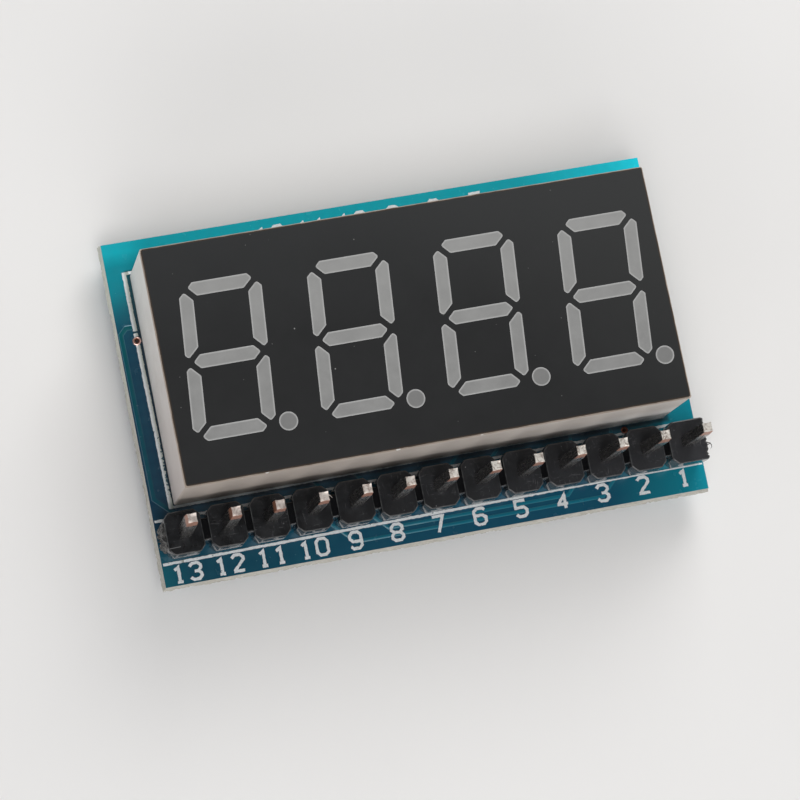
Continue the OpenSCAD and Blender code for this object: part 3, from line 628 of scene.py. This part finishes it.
def band(path, width):
    """Both sides of a band along a path, with mitred turns."""
    path = [Vector(p) for p in path]
    steps = [(b - a).normalized() for a, b in zip(path, path[1:])]
    sides = ([], [])
    for point, before, after in zip(path, steps[:1] + steps, steps + steps[-1:]):
        left = Vector((-after.y, after.x))
        across = (Vector((-before.y, before.x)) + left).normalized()
        reach = across * width / 2 / across.dot(left)
        sides[0].append(point + reach)
        sides[1].append(point - reach)
    return sides


# ---- Board ----

# Share of the height, reach past the mask and depth of the teeth of the snapped edge.
EDGE_ROWS = [(0, 0, 0), (0.11, 0.03, 0.03), (0.24, 0.08, 0.05), (0.34, 0.13, 0.08),
             (0.42, 0.15, 0.14), (0.5, 0.15, 0.15), (0.58, 0.15, 0.14), (0.66, 0.13, 0.08),
             (0.76, 0.08, 0.05), (0.89, 0.03, 0.03), (1, 0, 0)]
EDGE_STEP = 0.11
HOLE_SIDES, RING_SIDES = 24, 28


def board_rim():
    """Places round the board's outline, each with the way out of the board."""
    rim = []
    corners = [Vector(p) for p in ((1, -1), (1, 1), (-1, 1), (-1, -1))]
    for corner, following in zip(corners, corners[1:] + corners[:1]):
        start, end = corner * FACE.to_2d(), following * FACE.to_2d()
        count = int((end - start).length / EDGE_STEP)
        side = (end - start).normalized()
        out = Vector((side.y, -side.x))
        for k in range(count):
            rim.append((start.lerp(end, k / count), corner if k == 0 else out))
    return rim


def make_laminate():
    """The board's core with its snapped, fibrous edge."""
    bm = bmesh.new()
    rim = board_rim()
    low, high = BOARD_LOW.z, BOARD_HIGH.z
    loops = []
    for up, reach, rough in EDGE_ROWS:
        z = low + (high - low) * up
        loop = []
        for point, out in rim:
            coarse = fbm(point.x * 0.7, point.y * 0.7, z * 0.8)
            fine = fbm(point.x * 2.4, point.y * 2.4, z * 2.5 + 9)
            tooth = fbm(point.x * 5.5, point.y * 5.5, z * 4 + 3)
            cut = min(1, max(0, 0.36 - 0.9 * coarse - 0.9 * fine - 0.7 * tooth)) * rough
            spot = point + out * (reach - cut)
            lift = 0.025 * fine if 0 < up < 1 else 0
            loop.append((spot.x, spot.y, z + lift))
        loops.append(add_loop(bm, loop))
    for a, b in zip(loops, loops[1:]):
        bridge(bm, a, b)
    holes = [(Vector((x, HEADER_Y)), PIN_HOLE_R) for x in PIN_XS]
    holes += [(lead, LEAD_HOLE_R) for lead in LEADS]
    holes += [(via, VIA_HOLE_R) for via in VIAS]
    rings = []
    for centre, r in holes:
        rings.append([add_loop(bm, [(*(centre + out * r), z) for out in around(HOLE_SIDES)])
                      for z in (low, high)])
        bridge(bm, *rings[-1])
    for level, outline in ((0, loops[0]), (1, loops[-1])):
        groups = [outline] + [ring[level] for ring in rings]
        verts = [v for group in groups for v in group]
        flat = [[v.co.copy() for v in group] for group in groups]
        for triangle in tessellate_polygon(flat):
            bm.faces.new([verts[i] for i in triangle])
    piece("laminate_core", bm, ["laminate"], ["circuit_board"])


# Traces: the ridge in the mask, the wide supply trace and the rail on the back.
RIDGE_HEIGHT, RIDGE_SUNK = 0.013, 0.002
SUPPLY_W, SUPPLY_SLOPE = 0.22, 0.05
RAIL_W, RAIL_Y = 0.35, 5
OUTER_PINS = {0: 2, 7: 10}  # the end resistors and the header pins that they reach
LEG_SPOTS = [(-0.95, -1), (0.95, -1), (0, 1)]  # a transistor's legs: x and side


def ridge(bm, path, width, z, up, top=0, slope=0.03):
    """A trace that shows as a low ridge of the mask, its sloping sides in a paler material as a
    painted highlight.
    """
    foot, crest = z - up * RIDGE_SUNK, z + up * RIDGE_HEIGHT
    stations = []
    for a, d, b, c in zip(*band(path, width + 2 * slope), *band(path, width)):
        stations.append(add_loop(bm, [(*a, foot), (*b, crest), (*c, crest), (*d, foot)]))
    for a, b in zip(stations, stations[1:]):
        for k, material in enumerate((2, top, 2, top)):
            n = (k + 1) % 4
            bm.faces.new((a[k], a[n], b[n], b[k])).material_index = material
    bm.faces.new(stations[0])
    bm.faces.new(stations[-1][::-1])


def make_front_traces():
    """The traces of the front, as in the CAD."""
    bm = bmesh.new()
    edge_x = -FACE.x + 0.19
    low_x, low_y = edge_x + 0.09, HEADER_Y + 2.5
    supply_y, bevel = DISPLAY.y + 3.85, 0.36
    pin_x = PIN_XS[0]
    ridge(bm, [(FILM_LOW.x + 0.5, supply_y), (edge_x + bevel, supply_y),
               (edge_x, supply_y - bevel), (low_x, low_y), (pin_x, low_y - (pin_x - low_x)),
               (pin_x, HEADER_Y + 0.5)], SUPPLY_W, Z_FRONT, 1, 1, SUPPLY_SLOPE)
    knee = HEADER_Y - 0.8
    for k in range(2):
        x_in, x_out = PIN_XS[4 - k] + PITCH / 2, PIN_XS[9 + k] + PITCH / 2
        y = HEADER_Y - BLOCK.y - 0.36 - 0.46 * k
        ridge(bm, [(x_in - 1.3, HEADER_Y + 2.6), (x_in, HEADER_Y + 1.3), (x_in, knee),
                   (x_in + knee - y, y), (x_out - knee + y, y), (x_out, knee), (x_out, LEAD_Y)],
              TRACE, Z_FRONT, 1)
        lead, pin_x = LEADS[5 - k], PIN_XS[7 - k]
        ridge(bm, [lead, (lead.x, HEADER_Y + lead.x - pin_x), (pin_x, HEADER_Y)],
              TRACE, Z_FRONT, 1)
    corner = VIAS[1] + Vector((0.43, 0.43))
    ridge(bm, [VIAS[1] + Vector((0.2, 0.2)), corner, (corner.x, DISPLAY.y)], TRACE, Z_FRONT, 1)
    piece("front_traces", bm, ["trace", "supply", "slope"], ["front_copper"])


def make_back_traces():
    """The traces of the back: to the bases, from the segment resistors, and the supply."""
    bm = bmesh.new()
    for x in DIGITS:
        base_x = x + LEG_SPOTS[0][0]
        ridge(bm, [(x - 1.3, BASE_Y), (base_x, BASE_Y + 0.125), (base_x, BASE_Y + 1.1)],
              TRACE, Z_BACK, -1)
    for i, x in enumerate(SEGMENTS):
        path = [(x, SEGMENT_Y - 1.2), (x, LEAD_Y)]
        if i in OUTER_PINS:
            out = PIN_XS[OUTER_PINS[i]]
            path += [(out, LEAD_Y - abs(out - x)), (out, HEADER_Y)]
        ridge(bm, path, TRACE, Z_BACK, -1)
    ridge(bm, [(DIGITS[0], RAIL_Y), (DIGITS[-1], RAIL_Y)], RAIL_W, Z_BACK, -1, 1)
    piece("back_traces", bm, ["trace", "trace", "slope"])


make_laminate()
make_front_traces()
make_back_traces()


def ragged(x, y, seed, fine_seed):
    """How far the screen leaves a printed edge from its place."""
    return 0.028 * fbm(x * 6, y * 6, seed) + 0.012 * wave(x * 17, y * 17, fine_seed)


def turn_print(co, x, y):
    """Turns the front's print against the board, short of what its lines would meet."""
    if abs(y - FRAME_Y) < 0.12 and x > FILM_LOW.x:
        limit = FILM_LOW.y - (0.01 if y > FRAME_Y else 0.028)
        co.y = min(co.y + TURN * (x - FILM_LOW.x), limit)
    if abs(x - VIAS[0].x) < 0.3 and y > FRAME_Y - 0.2:
        co.x += LINE_SHIFT + TURN * max(0, LINE_TOP - y)
    if y < FRAME_Y - 0.2:
        co.y += HEADER_TURN * (x + FACE.x) - (UPPER_DROP if y > HEADER_Y else LOWER_DROP)
        if abs(y - LOWER_LINE_Y) < 0.11:
            co.y = min(co.y, BLOCK_FRONT_Y - (0.01 if y > LOWER_LINE_Y else 0.08))


def make_ink():
    """The print, its edges ragged, its front turned a little against the board."""
    bm = from_node("silkscreen")

    def long_flat(edge):
        rise = edge.verts[0].co.z - edge.verts[1].co.z
        return abs(rise) < 1e-4 and edge.calc_length() > 0.14

    split_edges(bm, long_flat, 0.1)
    for v in bm.verts:
        x, y = v.co.x, v.co.y
        v.co.x += ragged(x, y, 3, 5)
        v.co.y += ragged(x, y, 21, 31)
        if v.co.z > Z_FRONT - 0.01:
            turn_print(v.co, x, y)
    bmesh.ops.triangulate(bm, faces=bm.faces)
    piece("printed_ink", bm, ["ink"], ["silkscreen"], smooth=False)


def make_via_rims():
    """The plated rims of the two vias, domed above the mask, the right one in a painted-shade copy
    of the copper, and mask round the right one.
    """
    bm = bmesh.new()
    r, z = VIA_HOLE_R, Z_FRONT - 0.02
    # The right rim takes the painted-shade copper.
    for k, (via, width) in enumerate(zip(VIAS, (0.11, 0.06))):
        dome = [(r, z), (r + 0.01, z + 0.035), (r + width * 0.4, z + 0.055),
                (r + width * 0.7, z + 0.045), (r + width, z)]
        lathe(bm, via, dome, RING_SIDES, k, 0.05, hollow=True)
    ring = [(r + 0.02, z + 0.03), (r + 0.04, z + 0.04), (r + 0.11, z + 0.038), (r + 0.17, z)]
    lathe(bm, VIAS[1], ring, RING_SIDES, 2, 0.06, hollow=True)
    piece("via_rims", bm, ["rim", "shaded_rim", "mask"])


make_ink()
make_via_rims()


# ---- Header ----

def octagon(x, y, cut, inset, turn=0.05):
    """A chamfered rectangle moved in by inset, with three points to a corner."""
    x, y = x - inset, y - inset
    cut -= inset * (2 - math.sqrt(2))
    u, v = x - cut, y - cut
    corners = [Vector(p) for p in ((-u, -y), (u, -y), (x, -v), (x, v),
                                   (u, y), (-u, y), (-x, v), (-x, -v))]
    points = []
    for i, corner in enumerate(corners):
        before = (corners[i - 1] - corner).normalized() * turn
        after = (corners[(i + 1) % 8] - corner).normalized() * turn
        points += [corner + before, corner + (before + after) * 0.25, corner + after]
    return points


def stack(bm, centre, size, cut, levels, turn=0.05, material=0):
    """A block of octagonal outline through rising levels of (inset, z)."""
    loops = [add_loop(bm, [(*(p + centre), z) for p in octagon(*size, cut, inset, turn)])
             for inset, z in levels]
    solid(bm, loops, material)
    return loops


def mark_edge(bm, loops):
    """Marks the rounding just below the top, where the strip's finish paints a highlight."""
    edge = bm.verts.layers.float["edge"]
    for v in loops[-3] + loops[-4]:
        v[edge] = 1.0


def rounded_top(low, high, edge):
    """Levels of a block whose upper edge is rounded over a width of edge."""
    return [(0.02, low), (0, low + 0.03), (0, high - edge), (edge * 0.12, high - edge * 0.5),
            (edge * 0.45, high - edge * 0.15), (edge, high), (edge + 0.02, high)]


def make_strip():
    """Moulded blocks joined by low webs."""
    bm = bmesh.new()
    bm.verts.layers.float.new("edge")
    for centre in PIN_XS[:-1]:
        place = Vector((centre + 0.02 * wave(centre, 4, 0), HEADER_Y))
        levels = [(DRAFT, Z_FRONT), (0, Z_FRONT + DRAFT_HEIGHT)]
        levels += rounded_top(Z_FRONT, Z_BLOCK, BLOCK_EDGE)[2:]
        mark_edge(bm, stack(bm, place, BLOCK, CORNER, levels))
    gap = PITCH / 2 - BLOCK.x + 0.12
    for a, b in zip(PIN_XS, PIN_XS[1:]):
        middle = Vector(((a + b) / 2, HEADER_Y))
        levels = rounded_top(Z_FRONT, Z_BLOCK - WEB_DROP, 0.08)
        mark_edge(bm, stack(bm, middle, (gap, WEB_HALF), 0.02, levels, 0.01))
    piece("header_blocks", bm, ["strip"], ["header_strip"])


# Two shreds that hang from the end block: paths and widths.
SHREDS = [([(16.36, -7.8, 5.28), (16.5, -7.88, 5.33), (16.63, -7.94, 5.34),
            (16.71, -8.03, 5.32), (16.72, -8.17, 5.28), (16.64, -8.29, 5.24)], 0.05),
          ([(16.36, -8.04, 5.3), (16.54, -8, 5.36), (16.68, -7.9, 5.38)], 0.036)]


def make_last_block():
    """The end block, whose outer side was left ragged when the row was cut."""
    bm = bmesh.new()
    bm.verts.layers.float.new("edge")
    centre = Vector((PIN_XS[-1], HEADER_Y))
    y = BLOCK.y
    end, steps = BLOCK.x + 0.1, 30
    levels = rounded_top(Z_FRONT, Z_BLOCK, BLOCK_EDGE)
    wall = Z_BLOCK - BLOCK_EDGE - Z_FRONT
    levels += [(0, Z_FRONT + wall * k / 12) for k in range(1, 12)]
    levels.sort(key=lambda level: level[1])
    loops = []
    for inset, z in levels:
        inset = max(inset, DRAFT * (1 - (z - Z_FRONT) / DRAFT_HEIGHT))
        moulded = [p for p in octagon(*BLOCK, CORNER, inset) if p.x < 0.3]
        moulded.sort(key=lambda p: -math.atan2(p.y, -p.x))
        broken = []
        for k in range(steps + 1):
            v = -y + inset + (2 * y - 2 * inset) * k / steps
            shave = max(0, abs(v) - y + 0.1) * 0.5
            rough = 0.07 * fbm(v * 1.7, z * 0.9, 40) + 0.13 * fbm(v * 6.5, z * 2.2, 8)
            broken.append(Vector((end - inset - shave + min(0.1, rough), v)))
        loops.append(add_loop(bm, [(*(p + centre), z) for p in moulded + broken]))
    solid(bm, loops)
    count = len(loops[0])
    for n, face in enumerate(list(bm.faces)[:-2]):
        face.material_index = int(count - steps - 1 <= n % count < count - 1)
    mark_edge(bm, loops)
    for path, width in SHREDS:
        whisker(bm, path, width)
    piece("header_end_block", bm, ["strip", "cut"])


def whisker(bm, path, width):
    """A thin tapering shred of plastic along a path."""
    points = [Vector(p) for p in path]
    rings = []
    for i, point in enumerate(points):
        r = width * (1 - i / len(points)) * (1 + 0.4 * fbm(point.x * 9, point.y * 9, i))
        along = points[min(i + 1, len(points) - 1)] - points[max(i - 1, 0)]
        side = along.cross(Vector((0, 0, 1))).normalized()
        up = side.cross(along).normalized()
        rings.append(add_loop(bm, [point + (side * math.cos(a) + up * math.sin(a)) * r
                                   for a in (0, 1.3, 2.5, 3.8, 5)]))
    solid(bm, rings)


def make_torn_stub():
    """A ragged stub at the left, where the next block was broken off."""
    bm = bmesh.new()
    x_in, x_out = PIN_XS[0] - BLOCK.x + 0.08, BOARD_LOW.x + 0.03
    half, top, seed = 0.82, Z_BLOCK - 0.28, 3.3
    columns, rows, layers = 26, 22, 5
    foot = Z_FRONT + 0.25

    def spot(i, j, layer):
        u, v = i / columns * 2 - 1, j / rows
        out = layer / layers
        rugged = (0.55 + 0.5 * fbm(u * 2.1 + seed, v * 2.4, seed)
                  + 0.35 * fbm(u * 8, v * 9, seed + 5))
        bulge = max(0, 1 - abs(u) ** 3 * 0.6 - max(0, v - 0.8) * 1.2)
        reach = (x_out - x_in) * min(1, max(0.12, rugged * bulge)) * out
        wider = 1 + 0.06 * fbm(v * 6 + seed, layer, 2) * out
        lift = 0.05 * fbm(u * 5, layer * 0.7, seed) if j == rows else 0
        return x_in + reach, HEADER_Y + half * u * wider, foot + (top - foot) * v + lift

    grid = [[[bm.verts.new(spot(i, j, layer)) for i in range(columns + 1)]
             for j in range(rows + 1)] for layer in range(layers + 1)]
    for end in (0, -1):
        sheet(bm, grid[end])
        sheet(bm, [layer[end] for layer in grid])
        sheet(bm, [[row[end] for row in layer] for layer in grid])
    bmesh.ops.delete(bm, geom=[v for v in bm.verts if not v.link_faces], context="VERTS")
    piece("torn_stub_left", bm, ["torn"])


make_strip()
make_last_block()
make_torn_stub()


# Pins counted from the left: how far a tip leans, and the one with a burr.
LEAN = {1: 0.13, 2: 0.07}
BURRED = 4
PIN_HALF, TAPER = 0.32, 1.2


def square_ring(half, pinch, z, centre, dip):
    """Sixteen points round a square, its sides pulled in by pinch and down by dip."""
    points = []
    for k in range(16):
        side, part = divmod(k, 4)
        t = part / 4 * 2 - 1
        inward = pinch * (1 - t * t)
        u, v = half - inward, half * t
        for _ in range(side):
            u, v = -v, u
        points.append((centre.x + u, centre.y + v, z - dip * (1 - t * t)))
    return points


def make_pin(i, x):
    """A square pin: sheared tail, straight shaft, tapered tip with a dished end."""
    bm = bmesh.new()
    centre = Vector((x, HEADER_Y))
    top = box(f"header_pin_{i}")[1].z
    wander = [0.006 * wave(x, k, 0) for k in range(3)]
    levels = [(0.05, 0.03, 0, 0), (0.01, 0, 0.05, 0), (0, 0, 0.14, 0), (0, 0, 5, 0),
              (0, 0, top - TAPER, 0), (0.03, 0, top - 0.45, 0),
              (0.042 - wander[0], 0.004, top - 0.14, 0.01),
              (0.04 - wander[1], 0.014, top - 0.03, 0.02), (0.05 - wander[2], 0.02, top, 0.03),
              (0.095, 0.022, top - 0.012, 0.02), (0.2, 0.015, top - 0.045, 0)]
    loops = [add_loop(bm, square_ring(PIN_HALF - inset, pinch, z, centre, dip))
             for inset, pinch, z, dip in levels]
    for v in loops[-1] + loops[-2]:
        v.co.z += 0.012 * fbm(v.co.x * 9, v.co.y * 9, i)
    for v in loops[-3]:
        v.co.z = min(top, v.co.z + 0.02 * fbm(v.co.x * 4, v.co.y * 4, i))
    solid(bm, loops)
    for v in bm.verts:
        v.co.y += LEAN.get(i, 0) * max(0, v.co.z - Z_BLOCK) / (top - Z_BLOCK)
    if i == BURRED:
        burr = [(0.05, 0.22, 0.07), (0.22, 0.1, 0.06), (0.38, -0.04, 0.07), (0.46, -0.14, 0.11)]
        whisker(bm, [(x + u, HEADER_Y + v, top - w) for u, v, w in burr], 0.035)
    made = piece(f"square_pin_{i}", bm, ["pin"], [f"header_pin_{i}"])
    made.data.set_sharp_from_angle(angle=FOLDED_PIN)


for number, pin_x in enumerate(PIN_XS, 1):
    make_pin(number, pin_x)


# ---- Display ----

def make_film():
    """The black face, a hair smaller than the housing and a little uneven."""
    bm = from_node("face_film")

    def outer(v):
        return any(abs(v.co[k] - DISPLAY[k]) > FILM_HALF[k] - 0.32 for k in range(2))

    split_edges(bm, lambda e: outer(e.verts[0]) and outer(e.verts[1]) and e.calc_length() > 1, 0.4)
    for v in filter(outer, bm.verts):
        inset = 0.065 + 0.025 * fbm(v.co.x * 1.3, v.co.y * 1.3, 2)
        for k in range(2):
            v.co[k] = DISPLAY[k] + (v.co[k] - DISPLAY[k]) * (1 - inset / FILM_HALF[k])
    bmesh.ops.triangulate(bm, faces=bm.faces)
    piece("black_face", bm, ["film"], ["face_film"], smooth=False)


def make_epoxy():
    """The epoxy, raised level with the face, its skin dipping slightly in each window."""
    bm = from_node("epoxy_fill")
    rim = bm.verts.layers.float.new("rim")
    dot = bm.verts.layers.float.new("round")
    tops = [f for f in bm.faces
            if f.normal.z > 0.9 and f.calc_center_median().z > FILM_LOW.z - 0.01]
    dots = {f for f in tops if f.calc_area() < 1.1}

    def mark(value):
        for face in tops:
            for v in face.verts:
                v[rim] = value
                v[dot] = float(face in dots)

    mark(1)
    for v in {v for face in tops for v in face.verts}:
        v.co.z = FILM_HIGH.z - 0.003
    for width, drop, value in ((0.035, 0.003, 0.95), (0.04, 0.003, 0.4), (0.035, 0.002, 0)):
        bmesh.ops.inset_individual(bm, faces=tops, thickness=width, depth=-drop)
        mark(value)
    piece("segment_epoxy", bm, ["epoxy"], ["epoxy_fill"])


make_film()
make_epoxy()


# ---- Joints and small parts on the back ----

def make_joints(name, node, places, hole_r, lead_r, flare):
    """Solder that fills each hole and rises in a hollow cone up its lead."""
    bm = bmesh.new()
    low, high = box(node)
    ring_z, steps = Z_BACK + 0.02, 8
    for k, place in enumerate(places):
        foot = low.z + 0.14 * abs(wave(k, 3, 1))
        spread = flare * (1 - 0.06 * abs(wave(k, 8, 2)))
        profile = [(lead_r + (spread - lead_r) * (t / steps) ** 2.3,
                    foot + (Z_BACK - foot) * t / steps) for t in range(steps + 1)]
        profile += [(spread, ring_z), (hole_r, ring_z), (hole_r, high.z - 0.1),
                    (lead_r * 0.9, high.z)]
        lathe(bm, place, profile, RING_SIDES, wobble=0.03)
    piece(name, bm, ["solder"], [node])


def make_lead(i, place):
    """A round lead, its end nipped off and slightly burred."""
    bm = bmesh.new()
    node = f"display_pin_{i}"
    (_, _, low), (_, _, high) = box(node)
    r = plan(node)[1].x
    profile = [(r * 0.7, low + 0.01), (r * 0.86, low), (r * 0.97, low + 0.05), (r, low + 0.14),
               (r, (low + high) / 2), (r, high - 0.05), (r * 0.8, high)]
    lathe(bm, place, profile, wobble=0.012)
    piece(f"display_lead_{i}", bm, ["tin"], [node])


def slab(bm, centre, half, low, high, r, material):
    """A block with every edge rounded to about r."""
    levels = [(r, low), (r * 0.3, low + r * 0.3), (0, low + r), (0, high - r),
              (r * 0.3, high - r * 0.3), (r, high)]
    stack(bm, centre, half, r * 1.2, levels, r * 0.3, material)


def make_chip(i):
    """A chip resistor: ceramic with a dark glaze on its face and tinned ends."""
    bm = bmesh.new()
    node = f"resistor_{i}"
    low, high = box(node)
    centre, half = plan(node)
    along = half.y > half.x
    if along:
        half = half.yx
    cap, inner = 0.3, 0.02
    origin = Vector((0, 0))
    slab(bm, origin, (half.x - inner, half.y - inner), low.z + inner, high.z - inner, 0.02, 0)
    slab(bm, origin, (half.x - cap - 0.015, half.y - 0.035), low.z + 0.006, low.z + 0.04, 0.012, 1)
    for side in (-1, 1):
        end = Vector((side * (half.x - cap / 2), 0))
        slab(bm, end, (cap / 2, half.y), low.z, high.z, 0.045, 2)
    for v in bm.verts:
        x, y, z = v.co
        grown = 1 + 0.01 * fbm(x * 3 + i, y * 3, z * 3)
        x = max(-half.x, min(half.x, x * grown))
        y = max(-half.y, min(half.y, y * grown))
        v.co.xy = centre + Vector((-y, x) if along else (x, y))
    piece(f"chip_resistor_{i}", bm, ["ceramic", "glaze", "tin"], [node])


def smooth_path(points, r):
    """A path whose corners are rounded over a length r on each side."""
    points = [Vector(p) for p in points]
    path = [points[0]]
    for before, corner, after in zip(points, points[1:], points[2:]):
        a = corner + (before - corner).normalized() * r
        b = corner + (after - corner).normalized() * r
        for k in range(6):
            t = k / 5
            path.append(a * (1 - t) ** 2 + corner * 2 * t * (1 - t) + b * t ** 2)
    return path + [points[-1]]


# A transistor's legs, and its body over the board.
LEG_W, LEG_T, KNEE, FOOT = 0.42, 0.12, 0.9, 1.2
BODY = Vector((1.45, 0.65))
BODY_LIFT, BODY_H = 0.08, 0.95


def make_transistor(d):
    """A small moulded transistor: a body with sloping sides on three bent legs."""
    bm = bmesh.new()
    node = f"transistor_{d}"
    centre = plan(node)[0]
    draft, edge = 0.11, 0.035
    middle, top = BODY_LIFT + BODY_H / 2, BODY_LIFT + BODY_H
    levels = [(draft + edge, BODY_LIFT), (draft, BODY_LIFT + edge), (0.012, middle - 0.03),
              (0, middle - 0.01), (0, middle + 0.01), (0.012, middle + 0.03),
              (draft, top - edge), (draft + edge * 0.4, top - edge * 0.3), (draft + edge, top)]
    loops = []
    for inset, up in levels:
        ring = octagon(*BODY, 0.05 + inset * 0.6, inset, 0.015)
        loops.append(add_loop(bm, [(*(p + centre), Z_BACK - up) for p in ring]))
    solid(bm, loops)
    path = smooth_path([(0.2, middle), (KNEE - LEG_T, middle), (KNEE, LEG_T / 2),
                        (FOOT, LEG_T / 2)], 0.11)
    for spot, side in LEG_SPOTS:
        stations = []
        for a, b in zip(*band(path, LEG_T)):
            stations.append(add_loop(bm, [
                (centre.x + spot + across * LEG_W / 2, centre.y + side * point.x,
                 Z_BACK - max(0.002, point.y))
                for across, point in ((-1, a), (1, a), (1, b), (-1, b))]))
        solid(bm, stations, 1)
    piece(f"moulded_transistor_{d}", bm, ["resin", "tin"], [node])


def fillet(bm, foot, out, toe, climb, half):
    """A concave run of solder from a terminal's end face onto its pad."""
    across = Vector((-out.y, out.x))
    skin, base = Z_BACK - 0.004, Z_BACK + 0.035
    columns, rows = 12, 6
    stations = []
    for j in range(columns + 1):
        v = j / columns * 2 - 1
        reach = toe * (1 - 0.45 * abs(v) ** 3)
        height = climb * (1 - 0.4 * abs(v) ** 4)
        side = foot + across * v * half
        section = [(reach * (1 - k / rows), skin - height * (k / rows) ** 2.1)
                   for k in range(rows + 1)]
        section += [(-0.05, skin - height), (-0.05, base), (reach, base)]
        stations.append(add_loop(bm, [(*(side + out * away), z) for away, z in section]))
    solid(bm, stations)


def make_fillets():
    """The solder at the ends of the chips and under the transistors' feet."""
    bm = bmesh.new()
    for i in range(1, 13):
        low, high = box(f"resistor_{i}")
        centre, half = plan(f"resistor_{i}")
        along = Vector((0, 1) if half.y > half.x else (1, 0))
        for side in (-1, 1):
            out = along * side
            climb = (high.z - low.z) * (0.72 + 0.16 * wave(i, side, 7))
            fillet(bm, centre + out * (max(half) - 0.01), out, 0.31, climb, min(half) * 0.98)
    for d in range(1, 5):
        centre = plan(f"transistor_{d}")[0]
        for spot, side in LEG_SPOTS:
            foot = centre + Vector((spot, side * (FOOT - 0.01)))
            fillet(bm, foot, Vector((0, side)), 0.26, LEG_T, LEG_W / 2)
    piece("chip_joints", bm, ["solder"], ["smd_solder"])


make_joints("header_joints", "header_solder", [Vector((x, HEADER_Y)) for x in PIN_XS],
            hole_r=0.48, lead_r=0.42, flare=0.82)
make_joints("display_joints", "display_solder", LEADS, hole_r=0.34, lead_r=0.27, flare=0.68)
for number, lead in enumerate(LEADS, 1):
    make_lead(number, lead)
for number in range(1, 13):
    make_chip(number)
for number in range(1, 5):
    make_transistor(number)
make_fillets()

CAD_FINISHES = {
    "front_solder_mask": "mask", "back_solder_mask": "mask", "back_copper": "tin",
    "plated_holes": "copper", "display_housing": "housing", "display_board": "inner",
    "led_dies": "die", "bond_wires": "wire",
}
for node, key in CAD_FINISHES.items():
    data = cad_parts[node].data
    data.materials.clear()
    data.materials.append(MATERIALS[key])


# ---- Stage ----

def make_floor():
    s = 1.5
    mesh = bpy.data.meshes.new("floor")
    mesh.from_pydata([(-s, -s, 0), (s, -s, 0), (s, s, 0), (-s, s, 0)], [], [(0, 1, 2, 3)])
    floor = add_object("floor", mesh)
    f = Finish("floor", specular=0.2, Roughness=0.8)
    cloud = f.noise(0.02, 2).range(0.4, 0.6)
    f.set("Base Color", f.mix(cloud, (0.8, 0.79, 0.78), (0.83, 0.82, 0.81)))
    mesh.materials.append(f.material)


def add_lamp(name, direction, distance, size, power, colour=(1, 1, 1)):
    data = bpy.data.lights.new(name, "AREA")
    data.shape = "RECTANGLE"
    data.size, data.size_y = size
    data.energy = power
    data.color = colour
    lamp = add_object(name, data)
    away = Vector(direction).normalized()
    lamp.location = away * distance
    lamp.rotation_mode = "QUATERNION"
    lamp.rotation_quaternion = away.to_track_quat("Z", "Y")


def light_scene():
    """A bright tent with a dark opening overhead, and three soft lamps."""
    world = bpy.data.worlds.new("world")
    scene.world = world
    world.use_nodes = True
    tree = world.node_tree
    coordinates, split, fade = (tree.nodes.new("ShaderNode" + kind)
                                for kind in ("TexCoord", "SeparateXYZ", "MapRange"))
    fade.interpolation_type = "SMOOTHSTEP"
    opening = {"From Min": 0.25, "From Max": 0.9, "To Min": 0.83, "To Max": 0.09}
    for socket, value in opening.items():
        fade.inputs[socket].default_value = value
    tree.links.new(coordinates.outputs["Generated"], split.inputs[0])
    tree.links.new(split.outputs["Z"], fade.inputs["Value"])
    background = tree.nodes["Background"]
    background.inputs["Color"].default_value = (0.95, 0.97, 1, 1)
    tree.links.new(fade.outputs[0], background.inputs["Strength"])
    add_lamp("key", (0.33, 0.68, 0.68), 0.26, (0.15, 0.15), 0.34, (1, 0.985, 0.965))
    add_lamp("fill", (-0.2, -0.85, 0.42), 0.32, (0.28, 0.16), 0.32, (1, 0.97, 0.94))
    add_lamp("top", (-0.14, -0.36, 0.92), 0.3, (0.12, 0.12), 0.26)
    scene.view_settings.view_transform = "Standard"


add_camera()
make_floor()
light_scene()

bpy.context.view_layer.update()
